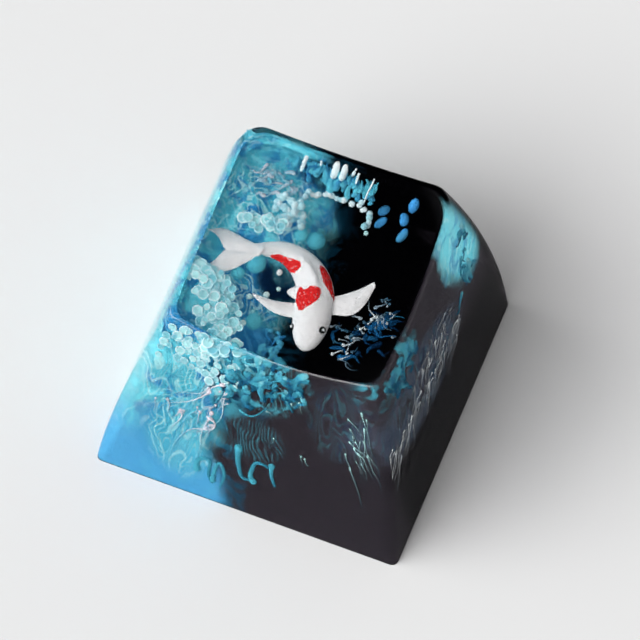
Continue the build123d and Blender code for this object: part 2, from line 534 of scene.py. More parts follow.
@dataclass(frozen=True)
class KoiPaint:
    """Matte white paint with a fine grain, red patches, a grey wash out on the fins, and a slight painted
    glow.
    """

    grain: float = 7.0
    grain_depth: float = 0.05
    # strength of the painted glow that brightens the koi
    glow: float = 0.08
    head_patch: tuple = (
        (-0.41, 0.22), (-0.27, -0.6), (0.1, -1.18), (0.36, -1.16), (0.6, -0.83),
        (0.96, -0.34), (0.97, 0.23), (0.8, 0.43), (0.32, 0.4),
    )
    flank_patch: tuple = (
        (0.33, 1.58), (0.76, 0.91), (1.69, 0.18), (1.76, 0.36), (1.06, 1.44), (0.5, 1.95), (0.19, 1.89),
    )
    back_patch: tuple = (
        (-2.18, 1.09), (-0.93, 0.96), (-0.75, 1.34), (-0.94, 1.68), (-2.21, 1.62), (-2.58, 1.4),
    )
    notch: tuple = (-0.06, 0.34, 0.22)

    def inside(self, place: Value, outline: Sequence, shader: Shader) -> Value:
        """Distance out of a convex outline in plan: the farthest of its edges' half planes.

        Args:
            place: Coordinates in millimetres.
            outline: Corners, counter-clockwise.
            shader: Shader that takes the nodes.

        Returns:
            A value below 0 inside.
        """
        across, along, _ = shader.split(place)
        edges = []
        for (x0, y0), (x1, y1) in zip(outline, outline[1:] + outline[:1]):
            run = math.hypot(x1 - x0, y1 - y0)
            out_x, out_y = (y1 - y0) / run, (x0 - x1) / run
            edges.append(across * out_x + along * out_y - (x0 * out_x + y0 * out_y))
        farthest = edges[0]
        for edge in edges[1:]:
            farthest = farthest.high(edge)
        return farthest

    def material(self) -> bpy.types.Material:
        """Builds the paint's material."""
        made = bpy.data.materials.new("koi_paint_matte")
        shader = Shader(made)
        place = shader.place()
        ragged = shader.warp(shader.warp(place, 1.6, 0.07), 6.0, 0.07)
        nearest = self.inside(ragged, self.head_patch, shader)
        across, along, _ = shader.split(ragged)
        notch_x, notch_y, notch_size = self.notch
        aside, ahead = across - notch_x, along - notch_y
        nearest = nearest.high(notch_size - (aside * aside + ahead * ahead).root())
        nearest = nearest.low(self.inside(ragged, self.flank_patch, shader))
        nearest = nearest.low(self.inside(ragged, self.back_patch, shader))
        flecks = shader.blur(place, 8.0, 2.0).step(0.61, 0.69)
        red = nearest.step(0.03, -0.03) * (1.0 - 0.6 * flecks)
        tint = shader.carried("tint", "Color")
        speck = shader.blur(place, self.grain, 2.0)
        white = shader.mix(speck.step(0.42, 0.7) * 0.45, tint, Ink.KOI_GREY, "MULTIPLY")
        colour = shader.mix(red * shader.carried("mask"), white, Ink.KOI_RED)
        relief = {"Strength": 0.8, "Distance": self.grain_depth * MM, "Height": speck}
        bump = shader.node("Bump", {}, relief, "Normal")
        shader.surface({
            "Base Color": colour,
            "Roughness": 0.5 + 0.3 * speck,
            "Specular IOR Level": 0.05,
            "Normal": bump,
            # painted glow: the paint's own colour emitted to brighten the koi
            "Emission Color": colour,
            "Emission Strength": self.glow,
        })
        return made


@dataclass(frozen=True)
class FloorPaper:
    """Matte white paper under the cap."""

    def material(self) -> bpy.types.Material:
        """Builds the paper's material."""
        made = bpy.data.materials.new("floor_paper")
        shader = Shader(made)
        fibre = shader.blur(shader.place(), 0.05)
        tone = shader.mix(fibre * 0.12, Ink.FLOOR, Ink.KOI_GREY)
        shader.surface({"Base Color": tone, "Roughness": 0.9, "Specular IOR Level": 0.1})
        return made


@dataclass
class Surface:
    """A mesh in the making: points in millimetres, faces, a tint and a mask for each point."""

    points: np.ndarray
    quads: np.ndarray
    tris: np.ndarray
    tints: np.ndarray
    mask: np.ndarray

    @staticmethod
    def joined(parts: Sequence["Surface"]) -> "Surface":
        """All parts as one surface.

        Args:
            parts: Surfaces, in order.

        Returns:
            The one surface.
        """
        starts = np.cumsum([0] + [len(part.points) for part in parts[:-1]])
        return Surface(
            np.concatenate([part.points for part in parts]),
            np.concatenate([part.quads + start for part, start in zip(parts, starts)]),
            np.concatenate([part.tris + start for part, start in zip(parts, starts)]),
            np.concatenate([part.tints for part in parts]),
            np.concatenate([part.mask for part in parts]),
        )

    def build(self, name: str, material: bpy.types.Material, crease: float = 60.0) -> bpy.types.Object:
        """Makes the surface an object.

        Args:
            name: Name of the object.
            material: Finish of the whole surface.
            crease: Angle in degrees past which an edge is sharp.

        Returns:
            The object, at the origin and linked to the scene.
        """
        mesh = bpy.data.meshes.new(name)
        corners = np.concatenate([self.quads.ravel(), self.tris.ravel()]).astype(np.int32)
        first_tri = self.quads.size
        starts = np.concatenate([
            np.arange(len(self.quads)) * 4,
            first_tri + np.arange(len(self.tris)) * 3,
        ]).astype(np.int32)
        mesh.vertices.add(len(self.points))
        mesh.vertices.foreach_set("co", (self.points * MM).astype(np.float32).ravel())
        mesh.loops.add(len(corners))
        mesh.loops.foreach_set("vertex_index", corners)
        mesh.polygons.add(len(starts))
        mesh.polygons.foreach_set("loop_start", starts)
        mesh.polygons.foreach_set("use_smooth", np.ones(len(starts), dtype=bool))
        mesh.update(calc_edges=True)
        tint = mesh.attributes.new("tint", "FLOAT_COLOR", "POINT")
        rgba = np.concatenate([self.tints, np.ones((len(self.tints), 1))], axis=1)
        tint.data.foreach_set("color", rgba.astype(np.float32).ravel())
        mask = mesh.attributes.new("mask", "FLOAT", "POINT")
        mask.data.foreach_set("value", self.mask.astype(np.float32))
        mesh.set_sharp_from_angle(angle=math.radians(crease))
        mesh.materials.append(material)
        made = bpy.data.objects.new(name, mesh)
        bpy.context.scene.collection.objects.link(made)
        return made


NO_TRIS = np.zeros((0, 3), int)


def unit(vectors: np.ndarray) -> np.ndarray:
    """Vectors scaled to length 1."""
    return vectors / np.maximum(np.linalg.norm(vectors, axis=-1, keepdims=True), 1e-9)


def ring_quads(rows: int, columns: int) -> np.ndarray:
    """Quads between rows of points that close round on themselves.

    Args:
        rows, columns: How many rows, and points in each.

    Returns:
        Indices, (quads, 4).
    """
    row, column = np.meshgrid(np.arange(rows - 1), np.arange(columns), indexing="ij")
    after = (column + 1) % columns
    low, high = row * columns, (row + 1) * columns
    return np.stack([low + column, low + after, high + after, high + column], axis=-1).reshape(-1, 4)


def rings(
    rows: np.ndarray, start: np.ndarray, end: np.ndarray, tints: np.ndarray, mask: np.ndarray
) -> Surface:
    """Closed skins of stacked rings, with one point at each end.

    Args:
        rows: Ring points, (skins, rows, columns, 3), counter-clockwise about the way from start to end.
        start, end: End points, (skins, 3).
        tints: One colour for each ring, (skins, rows, 3).
        mask: One share for each ring, (skins, rows).

    Returns:
        All skins as one surface, facing outwards.
    """
    skins, count, columns, _ = rows.shape
    body = count * columns
    points = np.concatenate([rows.reshape(skins, body, 3), start[:, None], end[:, None]], axis=1)
    column = np.arange(columns)
    after = (column + 1) % columns
    last = (count - 1) * columns
    first_fan = np.stack([np.full(columns, body), after, column], axis=-1)
    last_fan = np.stack([np.full(columns, body + 1), last + column, last + after], axis=-1)
    offsets = (np.arange(skins) * (body + 2))[:, None, None]
    quads = (ring_quads(count, columns)[None] + offsets).reshape(-1, 4)
    tris = (np.concatenate([first_fan, last_fan])[None] + offsets).reshape(-1, 3)
    colour = np.repeat(tints, columns, axis=1)
    colour = np.concatenate([colour, tints[:, :1], tints[:, -1:]], axis=1)
    share = np.concatenate([np.repeat(mask, columns, axis=1), mask[:, :1], mask[:, -1:]], axis=1)
    return Surface(points.reshape(-1, 3), quads, tris, colour.reshape(-1, 3), share.ravel())


STRAND_HELPER = np.array([0.31, 0.53, 0.79])
BEAD_HELPER = np.array([0.37, 0.61, 0.11])
END_ROUNDING = 0.6


def circles(axes: np.ndarray, helper: np.ndarray, sides: int) -> np.ndarray:
    """Unit circles that stand square to axes: cosine and sine of the turn along two directions across each.

    Args:
        axes: Unit axes, (..., 3).
        helper: Any direction that no axis shares; it sets where each circle starts.
        sides: Points in each circle.

    Returns:
        Points, (..., sides, 3).
    """
    first = unit(np.cross(axes, helper))
    second = np.cross(axes, first)
    turn = 2 * np.pi * np.arange(sides) / sides
    return np.cos(turn)[:, None] * first[..., None, :] + np.sin(turn)[:, None] * second[..., None, :]


def strands(paths: np.ndarray, radii: np.ndarray, tints: np.ndarray, sides: int) -> Surface:
    """Round strands: circles of the given radius stand square to each path, and both ends close on a point.

    Args:
        paths: Points of each strand, (strands, steps, 3).
        radii: Radius at each point, (strands, steps).
        tints: Colour at each point, (strands, steps, 3).
        sides: Points in each circle.

    Returns:
        The strands as one surface.
    """
    ahead = unit(np.gradient(paths, axis=1))
    rows = paths[:, :, None] + radii[:, :, None, None] * circles(ahead, STRAND_HELPER, sides)
    start = paths[:, 0] - ahead[:, 0] * radii[:, :1] * END_ROUNDING
    end = paths[:, -1] + ahead[:, -1] * radii[:, -1:] * END_ROUNDING
    return rings(rows, start, end, tints, np.zeros(radii.shape))


def beads(
    centres: np.ndarray,
    axes: np.ndarray,
    sizes: np.ndarray,
    profile: np.ndarray,
    tints: np.ndarray,
    sides: int,
) -> Surface:
    """Turned drops: a profile of radius and height carried round each axis and scaled to each size.

    Args:
        centres: Middles, (drops, 3).
        axes: Axes of turning, (drops, 3).
        sizes: Radius and half height, (drops, 2).
        profile: Radius and height shares, (rings, 2), from the lower end up, the first and last on the axis.
        tints: Colour of each ring, (drops, rings, 3).
        sides: Points in each ring.

    Returns:
        The drops as one surface.
    """
    axis = unit(axes)
    circle = circles(axis, BEAD_HELPER, sides)
    height = profile[None, :, 1] * sizes[:, 1:]
    spine = centres[:, None] + axis[:, None] * height[..., None]
    reach = profile[None, :, 0] * sizes[:, :1]
    rows = spine[:, 1:-1, None] + reach[:, 1:-1, None, None] * circle[:, None]
    inner = tints[:, 1:-1]
    return rings(rows, spine[:, 0], spine[:, -1], inner, np.zeros(inner.shape[:2]))


class Face(Enum):
    """Walls of the cap, each with the way that it faces and the way along it in plan."""

    FRONT = ((0.0, -1.0), (1.0, 0.0))
    RIGHT = ((1.0, 0.0), (0.0, 1.0))
    BACK = ((0.0, 1.0), (-1.0, 0.0))
    LEFT = ((-1.0, 0.0), (0.0, -1.0))


@dataclass(frozen=True)
class CapForm:
    """The cap's outer form and its dyed pour, in millimetres, by the same formulas as the solids."""

    skirt: float = 18.4
    top_width: float = 12.15
    top_length: float = 11.8
    top_height: float = 13.05
    tilt: float = math.radians(13.0)
    setback: float = 1.2
    bulge: float = 0.42
    skirt_corner: float = 0.4
    front_corner: float = 0.55
    back_corner: float = 1.4
    dish_radius: float = 29.0
    dish_depth: float = 1.55
    edge_break: float = 0.2
    pour_radius: float = 24.0
    pour_crest: float = 8.377
    bank_radius: float = 22.0
    bank_cover: float = 1.0
    bank_toe: float = 1.0
    tail_pool: tuple[float, float, float] = (-4.896, 0.744, 10.107)
    tail_pool_radius: float = 6.0
    front_room: float = 0.5
    side_room: float = 0.4
    turns: int = 8
    halvings: int = 40

    @property
    def dish_centre(self) -> np.ndarray:
        """Middle of the sphere that cuts the dish."""
        rise = self.dish_radius - self.dish_depth
        back, up = rise * math.sin(self.tilt), rise * math.cos(self.tilt)
        return np.array([0.0, self.setback - back, self.top_height + up])

    def dish(self, across: np.ndarray, along: np.ndarray) -> np.ndarray:
        """Height of the dish over a place in plan: the lower side of its sphere.

        Args:
            across, along: Places in plan, X and Y.

        Returns:
            Heights.
        """
        middle = self.dish_centre
        flat = (across - middle[0]) ** 2 + (along - middle[1]) ** 2
        return middle[2] - np.sqrt(self.dish_radius ** 2 - flat)

    def hill(self, across: np.ndarray, along: np.ndarray) -> np.ndarray:
        """Height of the dyed pour's rounded top over a place in plan."""
        return self.pour_crest - self.pour_radius + np.sqrt(self.pour_radius ** 2 - across ** 2 - along ** 2)

    def bank(self, across: np.ndarray, along: np.ndarray) -> np.ndarray:
        """Height of the bank at the left: a long cylinder, sloped with the top, less a pool at the tail.

        Args:
            across, along: Places in plan, X and Y.

        Returns:
            Heights.
        """
        half_top = self.top_width / 2
        edge = self.dish_radius - self.dish_depth - math.sqrt(self.dish_radius ** 2 - half_top ** 2)
        head = np.array([-half_top, edge - self.bank_cover])
        foot = np.array([-self.bank_toe, (self.pour_crest - self.top_height) * math.cos(self.tilt)])
        slope = foot - head
        drop = math.sqrt(self.bank_radius ** 2 - slope @ slope / 4)
        axis = (head + foot) / 2 + drop * unit(np.array([slope[1], -slope[0]]))
        sunk = axis[1] + np.sqrt(np.maximum(self.bank_radius ** 2 - (across - axis[0]) ** 2, 0.0))
        height = self.top_height + (along - self.setback) * math.tan(self.tilt) + sunk / math.cos(self.tilt)
        middle_x, middle_y, low = self.tail_pool
        away = (across - middle_x) ** 2 + (along - middle_y) ** 2
        scoop = low + self.tail_pool_radius - np.sqrt(np.maximum(self.tail_pool_radius ** 2 - away, 0.0))
        return np.minimum(height, scoop)

    def halves(self, share: np.ndarray, inset: np.ndarray) -> tuple[np.ndarray, np.ndarray]:
        """Half the width and length of a section: each shrinks with the height and bulges by a parabola.

        Args:
            share: Share of the top's height.
            inset: Depth under the wall.

        Returns:
            Half the width and half the length.
        """
        swell = 4 * self.bulge * share * (1 - share) - inset
        half_across = (self.skirt + (self.top_width - self.skirt) * share) / 2 + swell
        half_along = (self.skirt + (self.top_length - self.skirt) * share) / 2 + swell
        return half_across, half_along

    def lift(self, core: np.ndarray, out: np.ndarray, share: np.ndarray, inset: np.ndarray) -> np.ndarray:
        """Point of a wall section: a rectangle that shrinks, moves back and leans on its way up.

        Args:
            core: Place on the rectangle's core from -1 to 1, (..., 2).
            out: Outward direction in plan, (..., 2).
            share: Share of the top's height, (...).
            inset: Depth under the wall, (...).

        Returns:
            Points, (..., 3).
        """
        half_across, half_along = self.halves(share, inset)
        top_corner = np.where(core[..., 1] < 0, self.front_corner, self.back_corner)
        corner = self.skirt_corner + (top_corner - self.skirt_corner) * share + inset
        flat_x = core[..., 0] * (half_across - corner) + out[..., 0] * corner
        flat_y = core[..., 1] * (half_along - corner) + out[..., 1] * corner
        lean = self.tilt * share
        return np.stack([
            flat_x,
            self.setback * share + flat_y * np.cos(lean),
            self.top_height * share + flat_y * np.sin(lean),
        ], axis=-1)

    def wall(self, face: Face, along: np.ndarray, share: np.ndarray, inset: np.ndarray) -> np.ndarray:
        """Point under one flat wall.

        Args:
            face: The wall.
            along: Place along it from -1 to 1, rising the way that the face names.
            share: Share of the top's height.
            inset: Depth under the wall.

        Returns:
            Points, (..., 3).
        """
        out, way = (np.array(pair) for pair in face.value)
        core = out + along[..., None] * way
        return self.lift(core, np.broadcast_to(out, core.shape), share, inset)

    def under(self, face: Face, along: np.ndarray, up: np.ndarray, inset: np.ndarray) -> np.ndarray:
        """Point under a wall by its place in millimetres: fixed-point turns give the share of the height.

        Args:
            face: The wall.
            along: X on the front and back, Y on the sides.
            up: Height over the rim.
            inset: Depth under the wall.

        Returns:
            Points, (..., 3).
        """
        out = face.value[0]
        share = up / self.top_height
        flat = np.zeros_like(share)
        for _ in range(self.turns):
            lean = self.tilt * share
            _, half_along = self.halves(share, inset)
            if out[1]:
                flat = out[1] * half_along
            else:
                room = half_along - self.side_room
                flat = np.clip((along - self.setback * share) / np.cos(lean), -room, room)
            share = (up - flat * np.sin(lean)) / self.top_height
        half_across, _ = self.halves(share, inset)
        room = half_across - self.front_room
        across = np.clip(along, -room, room) if out[1] else out[0] * half_across
        back = self.setback * share + flat * np.cos(lean)
        return np.stack(np.broadcast_arrays(across, back, up), axis=-1)

    def outline(self, arc: int, flat: int) -> tuple[np.ndarray, np.ndarray]:
        """Columns round the cap.

        Args:
            arc: Steps round each corner.
            flat: Steps along each side.

        Returns:
            Core places and outward directions, counter-clockwise from above.
        """
        signs = np.array([[1.0, -1.0], [1.0, 1.0], [-1.0, 1.0], [-1.0, -1.0]])
        quarter = np.linspace(0, 1, arc + 1)
        angle = np.pi / 2 * (np.arange(4)[:, None] + quarter[None] - 1)
        arc_core = np.repeat(signs[:, None], arc + 1, axis=1)
        arc_out = np.stack([np.cos(angle), np.sin(angle)], axis=-1)
        run = np.linspace(0, 1, flat + 1)[1:-1, None]
        flat_core = signs[:, None] * (1 - run) + np.roll(signs, -1, axis=0)[:, None] * run
        flat_out = np.repeat(arc_out[:, -1:], flat - 1, axis=1)
        core = np.concatenate([arc_core, flat_core], axis=1).reshape(-1, 2)
        out = np.concatenate([arc_out, flat_out], axis=1).reshape(-1, 2)
        return core, out

    def rim_share(self, core: np.ndarray, out: np.ndarray) -> np.ndarray:
        """Share of the height at which each column of the wall meets the dish, by halving.

        Args:
            core, out: Columns round the cap.

        Returns:
            One share for each column.
        """
        low = np.full(len(core), 0.6)
        high = np.full(len(core), 1.1)
        for _ in range(self.halvings):
            middle = (low + high) / 2
            points = self.lift(core, out, middle, np.zeros_like(middle))
            away = np.linalg.norm(points - self.dish_centre, axis=-1)
            low = np.where(away > self.dish_radius, middle, low)
            high = np.where(away > self.dish_radius, high, middle)
        return (low + high) / 2

    def inside(self, points: np.ndarray, skin: float) -> np.ndarray:
        """Points drawn in, where they stand out, to lie under the dish and within the walls by a skin.

        Args:
            points: Points, (..., 3).
            skin: Least depth.

        Returns:
            The points, drawn in.
        """
        across, along, up = np.moveaxis(points, -1, 0)
        up = np.minimum(up, self.dish(across, along) - skin)
        share = np.clip((up - along * math.sin(self.tilt) * up / self.top_height) / self.top_height, 0, 1)
        half_across, half_along = self.halves(share, skin)
        across = np.clip(across, -half_across, half_across)
        along = np.clip(along, self.setback * share - half_along, self.setback * share + half_along)
        return np.stack([across, along, up], axis=-1)


@dataclass
class ResinSkin:
    """Clear resin from the outer walls and the dish down to its own hidden bond inside the dyed pour."""

    form: CapForm
    arc: int = 10
    flat: int = 22
    wall_rows: int = 40
    edge_rows: int = 7
    dish_rows: int = 36
    dish_reach: float = 0.985
    foot_inset: float = 0.28
    bond_inset: float = 1.1
    bond_shares: tuple[float, float] = (0.4, 0.03)
    bond_middle: tuple[float, float] = (0.0, 0.5)
    bond_roof: tuple[tuple[float, float], ...] = ((0.45, 6.1), (0.9, 5.85))
    bond_peak: float = 6.2

    def surface(self) -> Surface:
        """Rings from the hidden bond to the rim, up the walls, over the rounded edge and in over the dish."""
        form = self.form
        core, out = form.outline(self.arc, self.flat)
        nothing = np.zeros(len(core))
        edge_share = form.rim_share(core, out)
        edge = form.lift(core, out, edge_share, nothing)
        step = 0.01
        slope = np.linalg.norm(edge - form.lift(core, out, edge_share - step, nothing), axis=-1) / step
        wall_top = edge_share - form.edge_break / slope
        grid = np.linspace(0, 1, self.wall_rows)[:, None] * wall_top
        walls = form.lift(core, out, grid, np.zeros_like(grid))
        crown = np.array([0.0, form.setback])
        inward = edge[:, :2] + form.edge_break * unit(crown - edge[:, :2])
        dish_start = np.column_stack([inward, form.dish(inward[:, 0], inward[:, 1])])
        bend = np.linspace(0, 1, self.edge_rows)[1:-1, None, None]
        rounding = (1 - bend) ** 2 * walls[-1] + 2 * bend * (1 - bend) * edge + bend ** 2 * dish_start
        run = np.linspace(0, self.dish_reach, self.dish_rows)[:, None, None]
        plan = inward * (1 - run) + crown * run
        dish = np.concatenate([plan, form.dish(plan[..., 0], plan[..., 1])[..., None]], axis=-1)
        foot = form.lift(core, out, nothing, nothing + self.foot_inset)
        deep = nothing + self.bond_inset
        bond = [form.lift(core, out, nothing + share, deep) for share in self.bond_shares]
        middle = np.array(self.bond_middle)
        spokes = bond[0][:, :2] - middle
        roof = [np.column_stack([middle + spokes * reach, nothing + up]) for reach, up in self.bond_roof]
        hidden = np.stack([*roof, *bond, foot])
        rows = np.concatenate([hidden, walls, rounding, dish])
        satin = np.ones(len(hidden) + len(walls))
        mask = np.concatenate([satin, np.linspace(0.8, 0.2, len(rounding)), np.zeros(len(dish))])
        peak = np.array([[*self.bond_middle, self.bond_peak]])
        low = np.array([[*crown, form.dish(crown[0], crown[1])]])
        tints = np.ones((1, len(rows), 3))
        return rings(rows[None], peak, low, tints, mask[None])

    def make(self) -> bpy.types.Object:
        """Builds the skin and sets it in place of the clear pour."""
        made = self.surface().build("resin_skin", ClearResin().material(), crease=50.0)
        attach(made, "root")
        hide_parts("clear_pour")
        return made


def smooth_path(knots: np.ndarray, steps: np.ndarray) -> np.ndarray:
    """Natural cubic spline through knots, by shares of the knots' chord length.

    Args:
        knots: Points to pass through, (knots, dims).
        steps: Shares from 0 to 1.

    Returns:
        Points, (steps, dims).
    """
    chord = np.concatenate([[0.0], np.cumsum(np.linalg.norm(np.diff(knots, axis=0), axis=1))])
    chord = chord / chord[-1]
    gap = np.diff(chord)[:, None]
    count = len(knots)
    system = np.eye(count)
    inner = np.arange(1, count - 1)
    system[inner, inner - 1] = gap[:-1, 0]
    system[inner, inner] = 2 * (gap[:-1, 0] + gap[1:, 0])
    system[inner, inner + 1] = gap[1:, 0]
    rise = np.diff(knots, axis=0) / gap
    wanted = np.zeros(knots.shape)
    wanted[1:-1] = 6 * np.diff(rise, axis=0)
    bend = np.linalg.solve(system, wanted)
    span = np.clip(np.searchsorted(chord, steps, side="right") - 1, 0, count - 2)
    left = (steps - chord[span])[:, None]
    right = (chord[span + 1] - steps)[:, None]
    width = gap[span]
    curve = (bend[span] * right ** 3 + bend[span + 1] * left ** 3) / (6 * width)
    return (
        curve
        + (knots[span] / width - bend[span] * width / 6) * right
        + (knots[span + 1] / width - bend[span + 1] * width / 6) * left
    )


@dataclass
class Koi:
    """Painted koi: a body carried along a curved spine, with thin rayed fins and bead eyes."""

    form: CapForm
    length: float = 12.0
    girth: float = 2.2
    flatness: float = 0.66
    shoulder: float = 0.3
    wrist: float = 0.5
    cover: float = 0.45
    tail_lift: float = 0.9
    fin_thickness: float = 0.2
    ridge_height: float = 0.2
    belly: float = 0.92
    gill_share: float = 0.27
    gill_depth: float = 0.05
    spine: tuple = ((0.108, -0.271), (0.079, -0.1), (0.008, 0.088), (-0.142, 0.167), (-0.317, 0.1))

    @property
    def rise(self) -> float:
        """Half the body's height at the shoulder."""
        return self.girth * self.flatness / 2

    @property
    def level(self) -> float:
        """Height of the body's middle."""
        return float(self.form.dish_centre[2]) - self.form.dish_radius - self.cover - self.rise

    def half_width(self, share: np.ndarray) -> np.ndarray:
        """Half the body's width: an elliptic head, then a cosine taper to the wrist.

        Args:
            share: Shares along the spine.

        Returns:
            Half widths.
        """
        head = self.girth / 2 * np.sqrt(np.clip(1 - (1 - share / self.shoulder) ** 2, 0, 1))
        fall = (share - self.shoulder) / (1 - self.shoulder)
        tail = self.wrist / 2 + (self.girth - self.wrist) / 2 * np.cos(np.pi / 2 * np.clip(fall, 0, 1))
        return np.where(share < self.shoulder, head, tail)

    def lift(self, share: np.ndarray) -> np.ndarray:
        """Height of the spine over the koi's level, all of it in the tail half."""
        return self.tail_lift * np.maximum(0.0, share - 0.5) ** 2 * 4

    def frame_at(self, share: np.ndarray) -> tuple[np.ndarray, np.ndarray]:
        """Spine points, and the level directions to the koi's left of them.

        Args:
            share: Shares along the spine.

        Returns:
            Points and directions, (shares, 3) each.
        """
        fine = np.linspace(0, 1, 400)
        curve = smooth_path(np.array(self.spine) * self.length, fine)
        plan = np.stack([np.interp(share, fine, curve[:, axis]) for axis in range(2)], axis=-1)
        ahead = np.gradient(curve, axis=0)
        way = unit(np.stack([np.interp(share, fine, ahead[:, axis]) for axis in range(2)], axis=-1))
        side = np.stack([-way[:, 1], way[:, 0], np.zeros(len(share))], axis=-1)
        return np.column_stack([plan, self.level + self.lift(share)]), side

    def body(self, rows: int = 110, columns: int = 48) -> Surface:
        """Ovals along the spine, flatter under the belly, drawn up to a ridge along the back.

        Args:
            rows, columns: How many ovals, and points in each.

        Returns:
            The body as a closed surface.
        """
        share = 0.5 - 0.5 * np.cos(np.linspace(0.06, np.pi, rows))
        middle, side = self.frame_at(share)
        turn = 2 * np.pi * np.arange(columns) / columns
        half = self.half_width(share)
        ridge = self.ridge_height * np.exp(-((share - 0.5) / 0.17) ** 2)
        up = np.sin(turn)[None] * np.where(np.sin(turn) > 0, 1.0, self.belly)[None]
        sharp = ridge[:, None] * np.exp(-((turn - np.pi / 2) / 0.25) ** 2)[None]
        gill = 1 - self.gill_depth * np.exp(-((share - self.gill_share) / 0.012) ** 2)
        wide = (half * gill)[:, None] * np.cos(turn)[None]
        tall = half[:, None] * self.flatness * up + sharp
        upright = np.array([0.0, 0.0, 1.0])
        rowset = middle[:, None] - wide[..., None] * side[:, None] + tall[..., None] * upright
        fade = np.clip((share - 0.8) / 0.2, 0, 1)[:, None] * 0.5
        tints = Ink.KOI_WHITE.linear + fade * (Ink.KOI_GREY.linear - Ink.KOI_WHITE.linear)
        return rings(rowset[None, :, ::-1], middle[:1], middle[-1:], tints[None], np.ones((1, rows)))

    def fin(self, fore: Sequence, aft: Sequence, level: float, tip_lift: float, grey: float) -> Surface:
        """Thin fin between two edges: points run from edge to edge over and under a lens section with rays.

        Args:
            fore, aft: Knots of the two edges in plan, root first.
            level: Height of the root.
            tip_lift: How far the tip lies over the root.
            grey: How far the colour fades to grey at the tip.

        Returns:
            The fin as a closed surface.
        """
        rows, columns = 30, 48
        reach = np.linspace(0, 1, rows)
        first = smooth_path(np.array(fore), reach)
        second = smooth_path(np.array(aft), reach)
        turn = 2 * np.pi * np.arange(columns) / columns
        over = (0.5 - 0.5 * np.cos(turn))[None]
        plan = first[:, None] * (1 - over[..., None]) + second[:, None] * over[..., None]
        thick = self.fin_thickness / 2 * (1 - 0.72 * reach)[:, None]
        rays = 1 + 0.22 * np.sin(over * 40) * np.minimum(1, 4 * reach)[:, None]
        cup = tip_lift * reach[:, None] ** 1.6 + 0.1 * np.sin(np.pi * over) * np.sin(np.pi * reach)[:, None]
        height = level + cup + thick * rays * np.sin(turn)[None]
        rowset = np.concatenate([plan, height[..., None]], axis=-1)
        half = rows // 2
        lead, trail = first[half] - first[0], second[half] - first[0]
        if lead[0] * trail[1] - lead[1] * trail[0] < 0:
            rowset = rowset[:, ::-1]
        white, wash = Ink.KOI_WHITE.linear, Ink.KOI_GREY.linear
        tints = white + (grey * reach ** 0.8)[:, None] * (wash - white)
        start, end = rowset[0].mean(axis=0)[None], rowset[-1].mean(axis=0)[None]
        return rings(rowset[None], start, end, tints[None], np.zeros((1, rows)))

    def fins(self) -> list[Surface]:
        """Two breast fins, a belly fin and the two lobes of the forked tail."""
        low, tail = self.level, self.level + self.tail_lift
        return [
            self.fin(
                [(1.3, 0.35), (2.6, 1.24), (3.42, 2.02)],
                [(1.4, -0.6), (3.0, -0.2), (3.6, 1.8)],
                level=low, tip_lift=0.4, grey=0.25,
            ),
            self.fin(
                [(0.3, -0.4), (-1.3, -0.93), (-2.68, -1.03)],
                [(0.5, -1.4), (-1.2, -1.66), (-2.6, -1.16)],
                level=low, tip_lift=0.25, grey=0.25,
            ),
            self.fin(
                [(0.0, 0.5), (-0.7, 0.35), (-1.0, 0.0)],
                [(0.0, -0.4), (-0.6, -0.35), (-0.95, -0.15)],
                level=low, tip_lift=-0.1, grey=0.1,
            ),
            self.fin(
                [(-3.0, 1.6), (-4.5, 1.76), (-5.6, 1.86), (-6.36, 1.5)],
                [(-3.1, 0.95), (-4.3, 0.8), (-5.04, 0.7), (-5.6, 1.2), (-6.34, 1.44)],
                level=tail, tip_lift=0.05, grey=0.5,
            ),
            self.fin(
                [(-3.0, 1.5), (-4.3, 1.0), (-5.02, 0.64), (-5.2, 0.1), (-5.76, -0.88)],
                [(-3.1, 0.95), (-3.72, 0.2), (-4.2, -0.4), (-5.72, -0.95)],
                level=tail - 0.02, tip_lift=0.05, grey=0.5,
            ),
        ]

    def eyes(self) -> Surface:
        """Bead eyes on both cheeks, black about a small pale middle that is a painted catchlight."""
        share = np.array([0.15, 0.15])
        middle, side = self.frame_at(share)
        out = np.array([[-1.0], [1.0]]) * side
        centre = middle + out * self.half_width(share)[:, None] * np.array([[0.8], [0.95]])
        centre = centre + np.array([[0.0, 0.0, self.rise * 0.56], [0.0, 0.0, self.rise * 0.1]])
        turn = np.linspace(-np.pi / 2, np.pi / 2, 13)
        profile = np.column_stack([np.cos(turn), np.sin(turn)])
        # black eye, with a painted catchlight in the pale rings at the outer end of each bead
        eye_and_catchlight = np.where((turn > 1.2)[:, None], Ink.CHALK.linear, Ink.EYE.linear)
        axis = out * 0.5 + np.array([0.0, -0.2, 0.8])
        sizes = np.array([[0.21, 0.12], [0.2, 0.2]])
        return beads(centre, axis, sizes, profile, np.stack([eye_and_catchlight, eye_and_catchlight]), sides=20)

    def make(self) -> bpy.types.Object:
        """Builds the koi and sets it in place of its plain solid."""
        whole = Surface.joined([self.body(), *self.fins(), self.eyes()])
        made = whole.build("koi", KoiPaint().material(), crease=70.0)
        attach(made, "root")
        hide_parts("koi_figure")
        return made


@dataclass
class InkPiece:
    """Base of every ink in the clear resin: one closed mesh that rides with the cap."""

    form: CapForm
    seed: int = 7
    name: str = "ink"

    def surface(self) -> Surface:
        """The ink's mesh."""
        raise NotImplementedError

    def finish(self) -> bpy.types.Material:
        """The ink's material."""
        return InkFinish(self.name).material()

    def make(self) -> bpy.types.Object:
        """Builds the ink and dresses it."""
        made = self.surface().build(self.name, self.finish(), crease=80.0)
        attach(made, "root")
        return made


@dataclass
class SwirlPiece(InkPiece):
    """Base of the pieces that carry the dyed pour's own swirl on."""

    def finish(self) -> bpy.types.Material:
        """The dyed pour's material."""
        return bpy.data.materials["dyed_resin_swirl"]


def between(first: Ink, second: Ink, share: np.ndarray) -> np.ndarray:
    """Colours between two inks, by shares of any shape."""
    share = np.asarray(share)[..., None]
    return first.linear * (1 - share) + second.linear * share


